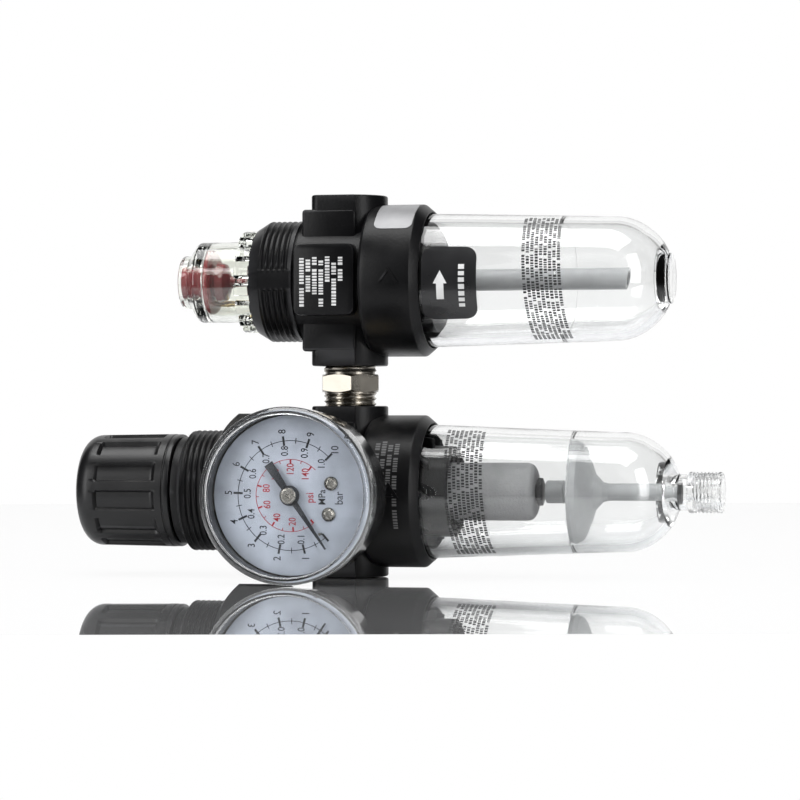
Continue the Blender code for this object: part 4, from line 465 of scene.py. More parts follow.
left, end, radius = ELEMENT
element = place("sintered_element", turned(rounded([
    (left, 4.2), (left, radius), (end, radius, 3.0), (end, 2.0), (end - 3, 2.0), (end - 3, 4.2),
], 6)))
fit(smooth(element), SINTERED, "element_grey", "root", "filter_element")
retainer_nut = raised(six_corners(3.4), 47.3, 48.7, 0.25)
retainer = place("element_retainer_nut", retainer_nut, FILTER_Z, ALONG_AXIS)
fit(smooth(retainer), BLACK_ACETAL, "black_plastic", "root", "element_retainer")

umbrella = place("umbrella_baffle", turned(rounded([
    (49.5, 0), (49.5, 2.8, 0.5), (54.0, 2.8, 0.8), (56.2, 12.3, 0.5), (57.4, 12.65, 0.4),
    (58.6, 12.0, 0.6), (60.2, 8.0, 1.0), (61.5, 4.6, 1.0), (63.6, 2.5, 0.8), (65.0, 2.1, 0.6),
    (81.3, 2.1, 0.2), (81.3, 0),
], 5)))
fit(smooth(umbrella), UMBRELLA_GREY, "grey_plastic", "drain_body", "drain_baffle")
seal = place("drain_stem_seal", turned(rounded([
    (81.6, 0), (81.6, 2.9, 0.3), (83.1, 2.9, 0.3), (83.1, 0),
]), 48))
fit(smooth(seal), NITRILE, "rubber", "drain_body", "drain_seal")

# Clear bowls
# Both bowls are blown-thin polycarbonate mouldings that screw into the skirts against an O-ring:
# the filter's has a threaded drain stub, the lubricator's a flat moulded foot.
BOWL_LEFT = 9.4
BOWL_MOUTH = (16.4, 14.4)


def clear_material(name, tint, roughness, ripple, waviness):
    """Clear moulded plastic. Light reaches what is inside it, so its shadow rays pass through."""
    material = bpy.data.materials.new(name)
    material.use_nodes = True
    tree = material.node_tree
    shader = tree.nodes["Principled BSDF"]
    shader.inputs["Base Color"].default_value = (*tint, 1)
    shader.inputs["Roughness"].default_value = roughness
    shader.inputs["IOR"].default_value = 1.585
    shader.inputs["Transmission Weight"].default_value = 1.0
    where = wire(tree, "TexCoord").outputs["Object"]
    flow = wire(tree, "TexNoise", {"Vector": where, "Scale": waviness, "Detail": 2.0}).outputs["Fac"]
    bump = wire(tree, "Bump", {"Height": flow, "Distance": ripple * MM})
    tree.links.new(bump.outputs["Normal"], shader.inputs["Normal"])
    through = wire(tree, "BsdfTransparent", {"Color": (0.93, 0.94, 0.94, 1)})
    shadow = wire(tree, "LightPath").outputs["Is Shadow Ray"]
    both = wire(tree, "MixShader", {0: shadow, 1: shader.outputs[0], 2: through.outputs[0]})
    tree.links.new(both.outputs[0], tree.nodes["Material Output"].inputs["Surface"])
    return material


POLYCARBONATE = clear_material("polycarbonate", (0.965, 0.97, 0.968), 0.015, 0.06, 60.0)
mouth, inside = BOWL_MOUTH
stub_thread = screw_thread(85.4, 92.2, 0.32, 0.9)
filter_dome = arc((68.4, 0.4), 14.2, 84, 20, 18)
filter_inner = arc((68.4, 0.4), 12.2, 35, 86, 12)
filter_glass = place("filter_bowl_glass", turned(rounded([
    (BOWL_LEFT, inside), (BOWL_LEFT, mouth, 0.4), (21.2, mouth, 3.0), (56.5, 14.98), (56.8, 14.97),
    (56.9, 14.9), (57.0, 14.97), (57.3, 14.95), (66.0, 14.6, 3.0), *filter_dome,
    (82.2, 4.4, 0.5), (84.5, 4.35, 0.2), (84.6, 4.95, 0.15), *along_thread(84.9, 92.4, 5.0, 0.9),
    (92.8, 4.6, 0.1), (92.8, 3.3, 0.2), (85.6, 3.3, 0.2), (85.6, 1.4), (84.6, 1.4), (84.6, 3.3, 0.1),
    (77.0, 3.3, 0.2), (77.0, 7.2, 0.4), *filter_inner, (64.0, 12.7), (21.2, inside),
]), 128, stub_thread))
fit(smooth(filter_glass, 40), POLYCARBONATE, "clear_plastic", "filter_bowl_body", "filter_bowl")

# Bonnet
# Black moulded acetal housing of the main spring: a panel-nut thread on its collar, and a hexagon
# with a coned shoulder by which it is screwed onto the casting's neck. Its tower guides the knob.
HEXAGON = (-31.8, -28.6, -14.9, 19.3)
BONNET_BLACK = painted("bonnet_black", (0.0045, 0.0045, 0.005), 0.42, 0.45, 0.03, 0.08, 0.3, shine=0.25)
cone_left, full_left, hex_right, corner_reach = HEXAGON
hexagon_block = raised(six_corners(corner_reach), cone_left, hex_right, 0.3)
hexagon = place("bonnet_hexagon", hexagon_block, FILTER_Z, ALONG_AXIS)
cone = place("cone", turned([
    (cone_left - 1, 0), (cone_left - 1, 15.0), (cone_left, 15.0), (full_left, 19.15),
    (hex_right - 0.8, 19.15), (hex_right + 0.1, 18.3), (hex_right + 0.1, 0),
]))
shape(hexagon, [cone], "INTERSECT")
barrel = place("barrel", turned([
    *rounded([(-58.0, 0), (-58.0, 11.2, 0.5), (-42.7, 11.2, 0.4), (-42.7, 13.3, 0.3), (-40.6, 13.3, 0.2)]),
    *along_thread(-39.8, -31.6, 15.0), (-31.4, 15.0), (-31.4, 0),
], 96, screw_thread(-40.2, -30.6, 0.62)))
shape(hexagon, [barrel], "UNION")
chamber = place("chamber", turned([
    (-60, 0), (-60, 3.3), (-56, 3.3), (-56, 9.4), (-23, 9.4), (-22.8, 15.3), (-14, 15.3), (-14, 0),
]))
shape(hexagon, [chamber], "DIFFERENCE")
fit(smooth(hexagon), BONNET_BLACK, "black_plastic", "root", "regulator_bonnet")

# Adjusting knob
# Black acetal cap with a domed end and twelve shallow grip flutes, pushed over the tower onto the
# square of the adjusting screw. Pulled out a little it turns, pushed in it locks.
KNOB_RADII = (13.8, 14.05)
KNOB_FLUTES = (12, -62.4, -46.6, 0.95)
FLUTE_HALF_WIDTH = math.radians(10.2)
FLUTE_TURN = math.radians(20.65)
KNOB_BLACK = painted("knob_black", (0.005, 0.005, 0.0055), 0.32, 0.3, 0.014, 0.08, 0.25, shine=0.4)


def flute_ripple(along, angle, radius):
    """The sunk flutes of the knob's outside: flat floors, steep walls and sloped ends."""
    count, start, end, depth = KNOB_FLUTES
    if radius < 13.5:
        return 0
    pitch = math.tau / count
    aside = (angle + FLUTE_TURN + pitch / 2) % pitch - pitch / 2
    wall = min(1, max(0, (FLUTE_HALF_WIDTH - abs(aside)) / math.radians(1.6)))
    run_out = min(1, max(0, (along - start) / 0.5), max(0, (end - along) / 0.9))
    flat = radius - radius * math.cos(FLUTE_HALF_WIDTH) / math.cos(aside)
    return -wall * run_out * (depth - 0.35 * flat)


left_radius, right_radius = KNOB_RADII
knob_side = [
    (-62.6 + n * 0.4, left_radius + (right_radius - left_radius) * n / 44) for n in range(45)
]
knob = place("adjusting_knob_cap", turned([
    (-68.7, 0), (-68.6, 5.0), *arc((-63.7, 9.6), 4.2, 172, 92, 9), *knob_side,
    *rounded([
        (-44.9, 14.05), (-44.6, 13.75, 0.2), (-44.3, 14.0, 0.2), (-43.0, 14.0, 0.4), (-43.0, 11.7, 0.3),
        (-65.5, 11.6, 0.4), (-65.5, 5.2, 0.3), (-58.7, 5.2, 0.2), (-58.7, 2.8), (-64.4, 2.8), (-64.4, 0),
    ]),
], 360, flute_ripple, math.pi))
fit(smooth(knob, 40), KNOB_BLACK, "black_plastic", "knob_body", "adjusting_knob")

# Pressure gauge
# A gloss black moulded case on a brass stem that screws into the front pad, with a snapped-on clear
# lens and a printed dial. The numbers read with the regulator upright, so they lie on their side.
GAUGE_AT = (-2.9, 0, 0)
OUT_OF_FRONT = Matrix.Rotation(-math.pi / 2, 4, "Z")
DIAL_PLANE = Matrix.Rotation(math.pi / 2, 4, "X")
DIAL_FRONT = 44.2
SCALE_ZERO = -49.3
DEGREES_PER_BAR = -26.62
PSI_PER_BAR = 14.504
BAR_RADIUS = 13.15
PSI_RADIUS = 8.65
REST_ANGLE = -55.3
SLOT_TURN = 0.5
GAUGE_GLOSS = painted("gauge_gloss", (0.005, 0.005, 0.0055), 0.13, 0.9, 0.006, 0.06, 0.0, coat=0.6)
DIAL_PAPER = painted("dial_paint", (0.44, 0.475, 0.545), 0.35, 0.25, 0.004, 0.0, 0.0)
BLACK_INK = painted("black_ink", (0.012, 0.014, 0.02), 0.4, 0.15, 0.002, 0.0, 0.0)
RED_INK = painted("red_ink", (0.42, 0.02, 0.03), 0.4, 0.15, 0.002, 0.0, 0.0)
NICKEL_SCREW = painted("nickel_screw", (0.42, 0.40, 0.36), 0.22, 0.2, 0.006, 0.0, 0.0, 0.0, 1.0)
LENS_CLEAR = clear_material("gauge_lens_clear", (0.90, 0.91, 0.92), 0.01, 0.003, 40.0)

case = place("gauge_case_shell", turned(rounded([
    (31.4, 4.9), (31.4, 20.0, 1.6), (44.1, 20.0, 0.2), (44.2, 20.35, 0.1), (48.9, 20.35, 0.2),
    (48.9, 19.5, 0.2), (32.6, 19.5, 0.5), (32.6, 4.9),
], 5), 128), FILTER_Z, OUT_OF_FRONT, GAUGE_AT)
fit(smooth(case), GAUGE_GLOSS, "gauge_black", "root", "gauge_case")
lens = place("gauge_lens_cap", turned(rounded([
    (44.4, 20.5), (44.4, 20.85, 0.15), (49.9, 20.95, 0.9), (50.75, 20.2, 0.5),
    (51.0, 19.9, 0.3), (51.0, 19.35, 0.3), (50.3, 19.1, 0.2), (50.3, 0), (49.1, 0), (49.1, 20.5, 0.3),
], 5), 128), FILTER_Z, OUT_OF_FRONT, GAUGE_AT)
fit(smooth(lens), LENS_CLEAR, "clear_plastic", "root", "gauge_lens")
dial = place("dial_plate", turned(rounded([
    (43.7, 1.8), (43.7, 19.2, 0.15), (DIAL_FRONT, 19.2, 0.15), (DIAL_FRONT, 1.8),
], 3), 128), FILTER_Z, OUT_OF_FRONT, GAUGE_AT)
fit(smooth(dial), DIAL_PAPER, "dial", "root", "gauge_dial")


def ring_stroke(radius, first, last, width):
    """The outline of a thin arc of the scale, between two angles in degrees."""
    steps = 72
    outer = arc((0, 0), radius + width / 2, first, last, steps)
    return outer + arc((0, 0), radius - width / 2, last, first, steps)


def tick(radius, angle, inward, outward, width):
    across = Vector((-math.sin(math.radians(angle)), math.cos(math.radians(angle)))) * width / 2
    out = Vector((math.cos(math.radians(angle)), math.sin(math.radians(angle))))
    low = out * (radius - inward)
    high = out * (radius + outward)
    return [tuple(low - across), tuple(high - across), tuple(high + across), tuple(low + across)]


def number(text, size, at, squeeze=0.86):
    """Printed figures: a text curve turned a quarter, as a thin mesh in the plane of the dial."""
    curve = bpy.data.curves.new("figures", "FONT")
    curve.body = text
    curve.size = size
    curve.align_x = "CENTER"
    curve.align_y = "CENTER"
    curve.extrude = 0.02
    curve.offset = 0.015
    curve.resolution_u = 3
    carrier = bpy.data.objects.new("figures", curve)
    bpy.context.scene.collection.objects.link(carrier)
    graph = bpy.context.evaluated_depsgraph_get()
    graph.update()
    mesh = bmesh.new()
    data = bpy.data.meshes.new_from_object(carrier.evaluated_get(graph))
    mesh.from_mesh(data)
    bpy.data.objects.remove(carrier, do_unlink=True)
    quarter = Matrix.Rotation(math.pi / 2, 4, "Z") @ Matrix.Diagonal((squeeze, 1, 1, 1))
    spot = Matrix.Translation((at[0], at[1], DIAL_FRONT + 0.03))
    return place("figures", mesh, FILTER_Z, DIAL_PLANE @ spot @ quarter, GAUGE_AT)


def on_dial(outline, low=DIAL_FRONT, high=DIAL_FRONT + 0.05):
    return place("stroke", raised(outline, low, high), FILTER_Z, DIAL_PLANE, GAUGE_AT)


def polar(radius, angle):
    return radius * math.cos(math.radians(angle)), radius * math.sin(math.radians(angle))


black = [on_dial(ring_stroke(BAR_RADIUS, SCALE_ZERO, SCALE_ZERO + 10 * DEGREES_PER_BAR, 0.16))]
for half in range(21):
    angle = SCALE_ZERO + half / 2 * DEGREES_PER_BAR
    major = half % 2 == 0
    reach, width = (1.15, 0.52) if major else (0.7, 0.18)
    black.append(on_dial(tick(BAR_RADIUS, angle, reach, reach, width)))
    if major and half:
        black.append(number(str(half // 2), 2.6, polar(BAR_RADIUS + 2.3, angle)))
        black.append(number("%.1f" % (half / 20), 2.5, polar(BAR_RADIUS - 2.4, angle), 0.8))
black.append(number("MPa", 2.5, (7.8, -0.4)))
black.append(number("bar", 2.8, (12.0, -0.6)))
first, *others = black
first.name = "dial_print_black"
fit(merge(first, *others), BLACK_INK, "dial", "root")

red = [on_dial(ring_stroke(PSI_RADIUS, SCALE_ZERO, SCALE_ZERO + 10 * DEGREES_PER_BAR, 0.14))]
for psi in range(0, 141, 10):
    angle = SCALE_ZERO + psi / PSI_PER_BAR * DEGREES_PER_BAR
    major = psi % 20 == 0
    red.append(on_dial(tick(PSI_RADIUS, angle, 1.1 if major else 0.7, 0, 0.42 if major else 0.16)))
    if major and psi:
        red.append(number(str(psi), 2.5, polar(PSI_RADIUS - 2.4, angle), 0.8))
red.append(number("psi", 2.7, (4.8, -0.5)))
first, *others = red
first.name = "dial_print_red"
fit(merge(first, *others), RED_INK, "dial", "root")

for index, (across, up) in enumerate(((10.0, 2.9), (9.4, -4.5)), 1):
    head = turned(rounded([
        (DIAL_FRONT + 0.1, 0), (DIAL_FRONT + 0.1, 1.7, 0.1), (DIAL_FRONT + 0.5, 1.7, 0.4),
        (DIAL_FRONT + 1.1, 0.9, 0.5), (DIAL_FRONT + 1.15, 0),
    ], 4), 40)
    spot = Vector(GAUGE_AT) + Vector((across, 0, up))
    screw = place("dial_screw_head_%d" % index, head, FILTER_Z, OUT_OF_FRONT, spot)
    askew = DIAL_PLANE @ Matrix.Rotation(SLOT_TURN, 4, "Z")
    cross = [
        place("slot", slab(low, high, 0.04), FILTER_Z, askew, spot)
        for low, high in (
            ((-1.0, -0.2, DIAL_FRONT + 0.5), (1.0, 0.2, DIAL_FRONT + 2)),
            ((-0.2, -1.0, DIAL_FRONT + 0.5), (0.2, 1.0, DIAL_FRONT + 2)),
        )
    ]
    shape(screw, cross, "DIFFERENCE")
    fit(smooth(screw), NICKEL_SCREW, "steel", "root", "dial_screw_%d" % index)

swing = Matrix.Rotation(math.radians(REST_ANGLE), 4, "Z")
needle = [
    place("needle", raised(outline, 45.2, 45.65, 0.08), FILTER_Z, DIAL_PLANE @ swing, GAUGE_AT)
    for outline in (
        [(1.5, -0.72), (15.5, -0.2), (15.5, 0.2), (1.5, 0.72)],
        [(-1.5, -0.75), (-1.5, 0.75), (-9.2, 1.15), (-9.2, -1.15)],
        arc((0, 0), 2.45, 0, 354, 59),
    )
]
pointer = merge(*needle)
pointer.name = "pointer_needle"
fit(smooth(pointer), BLACK_INK, "black_plastic", "pointer_body", "pointer")
cap = place("pointer_hub_cap", turned(rounded([
    (46.3, 0), (46.3, 1.95, 0.1), (47.2, 1.95, 0.3), (47.45, 1.4, 0.2), (47.4, 0.5, 0.1),
    (47.15, 0.3, 0.05), (47.15, 0),
], 4), 48), FILTER_Z, OUT_OF_FRONT, GAUGE_AT)
fit(smooth(cap), NICKEL_SCREW, "nickel", "pointer_body", "pointer_cap")
recoat(NICKEL_SCREW, "stop_pin")
recoat(TURNED_BRASS, "bourdon_tube", "movement_frame", "sector_gear", "movement_link", "pinion_shaft")

# Hexagon nipple
# Nickel plated brass: a hexagon between two pipe threads, turned from hexagon bar and screwed into
# both castings. It is bored through, so air passes from the regulator to the lubricator.
NIPPLE_Z = 48.1
NICKEL_PLATE = painted("nickel_plate", (0.34, 0.315, 0.275), 0.25, 0.3, 0.01, 0.02, 0.0, 0.0, 1.0)
CORNER_REACH = 7.94
CORNER_ANGLE = math.radians(-74)
nut = place("hexagon_nipple", raised([
    (CORNER_REACH * math.cos(math.tau * n / 6 + CORNER_ANGLE),
     CORNER_REACH * math.sin(math.tau * n / 6 + CORNER_ANGLE))
    for n in range(6)
], -2.7, 1.7, 0.08), NIPPLE_Z)
dome = place("dome", turned([
    (-1.8, 0), (-1.7, 6.8), (-1.2, 7.8), (-0.9, 8.2), (1.9, 8.2), (2.2, 7.8), (2.7, 6.8), (2.8, 0),
], 64), NIPPLE_Z, Matrix.Rotation(math.pi / 2, 4, "Y"))
shape(nut, [dome], "INTERSECT")
for sign in (1, -1):
    threaded_end = turned([
        (-0.3, 0), (-0.3, 6.0), (2.3, 6.15),
        *along_thread(2.5, 11.2, 6.55, PIPE_PITCH), (11.4, 5.6), (11.5, 0),
    ], 72, screw_thread(2.4, 13.0, 0.55, PIPE_PITCH))
    stub = place("stub", threaded_end, NIPPLE_Z, Matrix.Rotation(-sign * math.pi / 2, 4, "Y"))
    shape(nut, [stub], "UNION")
bore = turned([(-20, 0), (-20, 4.2), (20, 4.2), (20, 0)], 48)
through = place("through", bore, NIPPLE_Z, Matrix.Rotation(math.pi / 2, 4, "Y"))
shape(nut, [through], "DIFFERENCE")
fit(smooth(nut, 25), NICKEL_PLATE, "nickel", "root", "hex_nipple")

# Lubricator casting, venturi and siphon
# The same die casting as the regulator's, finished for the lubricator: its threaded neck takes the
# sight dome, and the siphon tube carries oil from the bowl past the check ball.
OILER_Z = 72.8
OILER_HUB = (12.8, 23.0, 2.95, 15.6)
SIPHON_GREY = painted("siphon_grey", (0.30, 0.305, 0.31), 0.4, 0.7, 0.02, 0.0, 0.0)
lubricator_casting = cast_unit("lubricator_casting", OILER_Z, OILER_HUB)
fit(lubricator_casting, CAST_PAINT, "casting", "root", "lubricator_body")
siphon = place("siphon_pipe", turned(rounded([
    (15.5, 1.6), (15.5, 2.65, 0.3), (74.0, 2.65), (74.0, 1.6),
]), 48), OILER_Z)
slope = Matrix.Translation((69.74, 0, 0)) @ Matrix.Rotation(math.radians(12), 4, "Y")
slant = place("slant", slab((0, -6, -6), (12, 6, 6), 0), OILER_Z, slope)
shape(siphon, [slant], "DIFFERENCE")
fit(smooth(siphon), SIPHON_GREY, "grey_plastic", "root", "siphon_tube")

oiler_dome = arc((66.2, 0.4), 14.8, 84, 27, 16)
oiler_inner = arc((66.2, 0.4), 12.8, 33, 86, 12)
oiler_glass = place("lubricator_bowl_glass", turned(rounded([
    (76.5, 0), (76.5, 7.0, 0.4), *oiler_inner, (63.0, 13.3), (21.2, inside), (BOWL_LEFT, inside),
    (BOWL_LEFT, mouth, 0.4), (21.2, mouth, 3.0), (54.1, 15.5), (54.4, 15.49),
    (54.5, 15.42), (54.6, 15.48), (54.9, 15.47), (65.0, 15.2, 3.0), *oiler_dome, (79.8, 6.15, 0.3),
    (80.6, 6.15, 0.35), (80.6, 0),
]), 128), OILER_Z)
fit(smooth(oiler_glass, 40), POLYCARBONATE, "clear_plastic", "lubricator_bowl_body", "lubricator_bowl")

# Sight dome and drip feed
# A clear castellated cap screwed into the neck. The dark red metering screw is turned from outside
# to set the drip rate, and oil from the riser falls past the nozzle, where it can be counted.
DOME_CLEAR = clear_material("dome_clear", (0.91, 0.925, 0.875), 0.02, 0.12, 140.0)
LUG_COUNT = 16
LUG_SHARE = 0.6
METER_RED = painted("meter_red", (0.17, 0.012, 0.018), 0.25, 0.3, 0.01, 0.0, 0.0, coat=0.4)


def lug_ripple(along, angle, radius):
    """The castellated rim: notches between the lugs of the flange."""
    if radius < 11.3 or along > -22.6:
        return 0
    turn = (angle / math.tau * LUG_COUNT) % 1
    inside_lug = min(1, max(0, (LUG_SHARE / 2 + 0.03 - abs(turn - 0.5)) / 0.06))
    return -(radius - 11.2) * (1 - inside_lug)


dome_glass = place("sight_dome_glass", turned(rounded([
    (-42.6, 4.4), (-42.6, 6.7, 0.5), (-40.4, 6.7, 0.2), (-40.2, 6.9), (-38.0, 10.02, 1.2),
    (-26.6, 10.02, 0.3), (-26.5, 12.6, 0.2), (-22.8, 12.6, 0.2), (-22.8, 10.6, 0.2),
    (-17.0, 10.6, 0.3), (-17.0, 8.4, 0.2), (-36.0, 8.4, 1.2), (-36.0, 4.4, 0.2),
], 4), 240, lug_ripple), OILER_Z)
fit(smooth(dome_glass, 35), DOME_CLEAR, "clear_plastic", "root", "sight_dome")

feed = place("metering_screw_head", turned(rounded([
    (-42.2, 0), (-42.2, 4.0, 0.3), (-38.9, 4.0, 0.15), (-38.7, 3.5, 0.1), (-37.5, 3.5, 0.1),
    (-37.3, 4.0, 0.15), (-35.7, 4.0, 0.1), (-35.7, 8.1, 0.3), (-34.5, 8.1, 0.3), (-34.5, 3.8, 0.2),
    (-33.7, 3.8, 0.2), (-33.5, 5.0, 0.2), (-31.5, 4.6, 0.5), (-30.4, 1.6, 0.3), (-29.2, 1.4, 0.1),
    (-29.2, 0),
]), 72), OILER_Z)
slot = place("slot", slab((-44, -0.6, -4.2), (-41.0, 0.6, 4.2), 0), OILER_Z)
shape(feed, [slot], "DIFFERENCE")
fit(smooth(feed), METER_RED, "red_plastic", "feed_body", "metering_screw")
nozzle = place("drip_nozzle_tip", turned(rounded([
    (-28.9, 0.5), (-28.9, 1.1, 0.1), (-27.4, 1.1, 0.2), (-26.5, 0.8, 0.1), (-26.5, 0.5),
]), 32), OILER_Z)
fit(smooth(nozzle), METER_RED, "red_plastic", "feed_body", "drip_nozzle")
recoat(NITRILE, "metering_ring")
recoat(TURNED_BRASS, "oil_riser")

# Labels and marks
# A black and a silver sticker on the lubricator, marks printed in ink on the castings and round the
# bowls, and a raised mark for the direction of the air, cast onto each skirt.
STICKER_BLACK = painted("sticker_black", (0.012, 0.012, 0.013), 0.3, 0.6, 0.004, 0.05, 0.0, coat=0.3)
STICKER_SILVER = painted("sticker_silver", (0.30, 0.30, 0.305), 0.5, 0.3, 0.004, 0.02, 0.0, 0.0, 0.5)
PRINT_WHITE = painted("print_white", (0.68, 0.68, 0.67), 0.5, 0.2, 0.003, 0.0, 0.0)
PRINT_GREY = painted("print_grey", (0.10, 0.10, 0.10), 0.5, 0.2, 0.003, 0.0, 0.0)
PRINT_BLACK = painted("print_black", (0.015, 0.015, 0.016), 0.5, 0.2, 0.003, 0.0, 0.0)
BOWL_SKIN = 16.43
STICKER_SKIN = 16.56
TAPER_START = 21.2
OILER_TAPER = (16.4 - 15.2) / (65.0 - TAPER_START)
FILTER_TAPER = (16.4 - 14.6) / (66.0 - TAPER_START)


def wrapped(outlines, radius, thick, z, taper=0.0):
    """Flat outlines of (along, round) bent onto a turned surface; round is in mm of arc."""
    mesh = bmesh.new()
    for outline in outlines:
        flat = bmesh.new()
        flat.faces.new([flat.verts.new((along, across, 0)) for along, across in outline])
        spans = [across for along, across in outline]
        for cut in range(math.ceil(min(spans)), math.ceil(max(spans))):
            bmesh.ops.bisect_plane(
                flat, geom=flat.verts[:] + flat.edges[:] + flat.faces[:],
                plane_co=(0, cut, 0), plane_no=(0, 1, 0),
            )
        lifted = bmesh.ops.extrude_face_region(flat, geom=flat.faces[:])
        for vert in lifted["geom"]:
            if isinstance(vert, bmesh.types.BMVert):
                vert.co.z += thick
        data = bpy.data.meshes.new("label")
        flat.to_mesh(data)
        flat.free()
        mesh.from_mesh(data)
        bpy.data.meshes.remove(data)
    for vert in mesh.verts:
        along, across, height = vert.co
        here = radius - taper * (along - TAPER_START)
        angle = across / radius
        vert.co = (along, -(here + height) * math.cos(angle), (here + height) * math.sin(angle))
    bmesh.ops.recalc_face_normals(mesh, faces=mesh.faces)
    return place("label", mesh, z)


def filler_lines(lines, pitch, letter, seed, lean=0.0):
    """Printed lines of small dashes in uneven groups, side by side along X.

    Each line is given as its first and its last place around the surface.
    """
    chance = random.Random(seed)
    marks = []
    for row, (first, last) in enumerate(lines):
        here = first
        left_in_group = chance.randint(3, 9)
        while here < last:
            width = letter * chance.uniform(0.4, 0.75)
            low = row * pitch - lean * here
            high = low + pitch * 0.7
            marks.append([(low, here), (high, here), (high, here + width), (low, here + width)])
            here += width + letter * 0.3
            left_in_group -= 1
            if not left_in_group:
                here += letter * 0.9
                left_in_group = chance.randint(3, 9)
    return marks


def shifted(outlines, along):
    return [[(x + along, y) for x, y in outline] for outline in outlines]


fill_label = wrapped([plate((21.9, -10.6), (35.4, 8.0), 3.0)], BOWL_SKIN, 0.12, OILER_Z, OILER_TAPER)
fill_label.name = "fill_level_label"
fit(smooth(fill_label), STICKER_BLACK, "black_plastic", "lubricator_bowl_body")
fill_arrow = wrapped([[
    (26.5, 1.9), (24.8, -1.3), (25.6, -1.3), (25.6, -5.2), (27.4, -5.2), (27.4, -1.3), (28.2, -1.3),
]], STICKER_SKIN, 0.04, OILER_Z, OILER_TAPER)
fill_arrow.name = "fill_level_arrow"
note_line = shifted(filler_lines([(-7.2, 4.6)], 2.1, 1.75, 5), 31.0)
fill_note = wrapped(note_line, STICKER_SKIN, 0.04, OILER_Z, OILER_TAPER)
fit(merge(fill_arrow, fill_note), PRINT_WHITE, "dial", "lubricator_bowl_body")

silver_label = wrapped([plate((9.4, 13.3), (18.9, 26.0), 1.8)], 18.73, 0.08, OILER_Z)
silver_label.name = "skirt_label"
fit(smooth(silver_label), STICKER_SILVER, "steel", "root")

for name, z, taper, along, body, seed in (
    ("lubricator_bowl_print", OILER_Z, OILER_TAPER, 46.6, "lubricator_bowl_body", 3),
    ("filter_bowl_print", FILTER_Z, FILTER_TAPER, 27.4, "filter_bowl_body", 8),
):
    words = filler_lines([(-20.0, 19.5)] * 9, 1.08, 0.8, seed, 0.06)
    print_rows = wrapped(shifted(words, along), BOWL_SKIN, 0.02, z, taper)
    print_rows.name = name
    fit(print_rows, PRINT_BLACK, "black_plastic", body)

for name, z in (("lubricator_air_mark", OILER_Z), ("regulator_air_mark", FILTER_Z)):
    outer = [(11.4, -1.2), (14.2, 2.6), (16.8, -1.2)]
    inner = [(12.2, -0.9), (14.1, 1.7), (15.6, -0.9)]
    bars = []
    for a in range(3):
        b = (a + 1) % 3
        bars.append([outer[a], outer[b], inner[b], inner[a]])
    mark = wrapped(bars, 18.6, 0.35, z)
    mark.name = name
    fit(mark, CAST_PAINT, "casting", "root")

PAD_LINES = [(-6.6, 5.4), (-3.0, 5.2), (-3.6, 5.6), (-6.6, 4.4), (-0.6, 6.0), (-6.4, 4.2), (-0.4, 5.6)]
pad_marks, *others = [
    place("mark", raised(outline, PAD_FACE, PAD_FACE + 0.03), OILER_Z, DIAL_PLANE, (-8.7, 0, 0))
    for outline in filler_lines(PAD_LINES, 1.62, 0.85, 11)
]
pad_marks.name = "lubricator_pad_marks"
fit(merge(pad_marks, *others), PRINT_WHITE, "dial", "root")

SKIRT_LINES = [(6.0, 13.0), (0.5, 13.5), (2.0, 12.0), (-9.0, 12.5)]
skirt_marks = wrapped(shifted(filler_lines(SKIRT_LINES, 1.62, 0.8, 12), 10.2), 18.71, 0.02, FILTER_Z)
skirt_marks.name = "regulator_skirt_marks"
fit(skirt_marks, PRINT_GREY, "dial", "root")

# Studio
# The unit lies on a polished white table before a white backdrop. Large soft boxes stand above and
# at both sides, and the dim room in front keeps the black paint black. Sizes here are in metres.
WHITE = (1.0, 1.0, 1.0, 1)
WHITE_PAINT = (0.8, 0.8, 0.8, 1)
AZIMUTH = math.radians(13.706)
ELEVATION = math.radians(-0.05)
ROLL = math.radians(-0.1)
DISTANCE = 0.8658
TARGET = Vector((0.00059, 0.01615, 0.04345))
FOCAL_LENGTH_IN_PIXELS = 3514.6
PICTURE_WIDTH = 800
TABLE_TOP = -0.0002
MIDDLE = (0.0, 0.016, 0.045)


def glow_when_seen(tree, surface):
    """White to the camera, in metal and through glass. The surface itself to every other light."""
    path = wire(tree, "LightPath")
    for ray in ("Is Camera Ray", "Is Glossy Ray", "Is Transmission Ray"):
        glow = wire(tree, "Emission", {"Color": WHITE, "Strength": 1.0})
        seen = wire(tree, "MixShader", {0: path.outputs[ray], 1: surface, 2: glow.outputs[0]})
        surface = seen.outputs[0]
    return surface


table_top = bpy.data.materials.new("table_top")
table_top.use_nodes = True
tree = table_top.node_tree
board = tree.nodes["Principled BSDF"]
board.inputs["Base Color"].default_value = WHITE_PAINT
board.inputs["Roughness"].default_value = 0.5
polish = wire(tree, "BsdfGlossy", {"Color": WHITE, "Roughness": 0.012})
grazing = wire(tree, "LayerWeight", {"Blend": 0.5}).outputs["Facing"]
share = wire(
    tree, "MapRange", {0: grazing, 1: 0.72, 2: 0.95, 3: 0.04, 4: 0.93}, interpolation_type="SMOOTHSTEP",
)
lacquer = wire(tree, "MixShader", {0: share.outputs[0], 1: board.outputs[0], 2: polish.outputs[0]})
tree.links.new(lacquer.outputs[0], tree.nodes["Material Output"].inputs["Surface"])

backdrop_paper = bpy.data.materials.new("backdrop_paper")
backdrop_paper.use_nodes = True
tree = backdrop_paper.node_tree
fibre = tree.nodes["Principled BSDF"]
fibre.inputs["Base Color"].default_value = WHITE_PAINT
fibre.inputs["Roughness"].default_value = 0.9
paper = glow_when_seen(tree, fibre.outputs[0])
tree.links.new(paper, tree.nodes["Material Output"].inputs["Surface"])


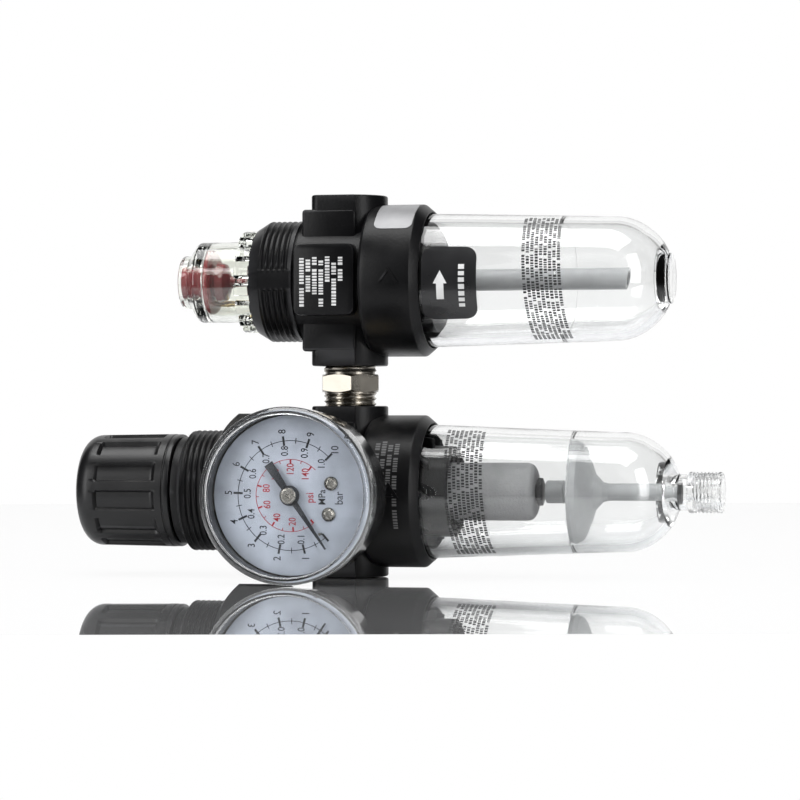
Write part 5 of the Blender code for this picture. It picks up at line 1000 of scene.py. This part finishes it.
def sheet(name, corners, material):
    """A flat stage piece, with its corners given as (side, ahead, up) from the camera's foot."""
    ahead = Vector((-math.sin(AZIMUTH), math.cos(AZIMUTH), 0))
    aside = Vector((math.cos(AZIMUTH), math.sin(AZIMUTH), 0))
    foot = Vector((TARGET.x, TARGET.y, 0)) - ahead * DISTANCE
    data = bpy.data.meshes.new(name)
    spots = [foot + aside * x + ahead * y + Vector((0, 0, z)) for x, y, z in corners]
    data.from_pydata(spots, [], [tuple(range(len(spots)))])
    data.materials.append(material)
    made = bpy.data.objects.new(name, data)
    bpy.context.scene.collection.objects.link(made)


sheet("table", [
    (-1.0, 0.652, TABLE_TOP), (1.0, 0.652, TABLE_TOP), (1.0, 1.5, TABLE_TOP), (-1.0, 1.5, TABLE_TOP),
], table_top)
sheet("backdrop", [
    (-0.75, 1.7, -0.5), (0.75, 1.7, -0.5), (0.75, 1.7, 1.0), (-0.75, 1.7, 1.0),
], backdrop_paper)

world = bpy.data.worlds.new("studio")
bpy.context.scene.world = world
world.use_nodes = True
tree = world.node_tree
path = wire(tree, "LightPath")
room = wire(tree, "Background", {"Color": (0.9, 0.93, 1.0, 1), "Strength": 0.35}).outputs[0]
for ray, strength in (("Is Glossy Ray", 0.04), ("Is Transmission Ray", 0.5), ("Is Camera Ray", 1.0)):
    seen = wire(tree, "Background", {"Color": WHITE, "Strength": strength})
    room = wire(tree, "MixShader", {0: path.outputs[ray], 1: room, 2: seen.outputs[0]}).outputs[0]
tree.links.new(room, tree.nodes["World Output"].inputs["Surface"])


def soft_box(name, stand, size, power):
    """A large lamp that faces the middle of the unit."""
    light = bpy.data.lights.new(name, "AREA")
    light.shape = "RECTANGLE"
    light.size, light.size_y = size
    light.energy = power
    lamp = bpy.data.objects.new(name, light)
    lamp.location = stand
    lamp.rotation_euler = (Vector(MIDDLE) - Vector(stand)).to_track_quat("-Z", "Y").to_euler()
    bpy.context.scene.collection.objects.link(lamp)


soft_box("top_box", (-0.05, -0.1, 0.85), (0.9, 0.5), 7.0)
soft_box("left_box", (-0.58, -0.63, 0.3), (0.36, 0.7), 3.4)
soft_box("right_box", (0.62, -0.42, 0.28), (0.26, 0.7), 2.8)

camera = bpy.data.cameras.new("camera")
camera.sensor_width = 36
camera.lens = FOCAL_LENGTH_IN_PIXELS / PICTURE_WIDTH * camera.sensor_width
camera.clip_start = 0.01
forward = Vector((
    -math.sin(AZIMUTH) * math.cos(ELEVATION), math.cos(AZIMUTH) * math.cos(ELEVATION), -math.sin(ELEVATION),
))
level = Vector((math.cos(AZIMUTH), math.sin(AZIMUTH), 0))
upright = level.cross(forward)
right = level * math.cos(ROLL) + upright * math.sin(ROLL)
up = right.cross(forward)
view = Matrix((right, up, -forward)).transposed().to_4x4()
view.translation = TARGET - forward * DISTANCE
viewer = bpy.data.objects.new("camera", camera)
viewer.matrix_world = view
bpy.context.scene.collection.objects.link(viewer)
bpy.context.scene.camera = viewer
bpy.context.scene.view_settings.view_transform = "Standard"
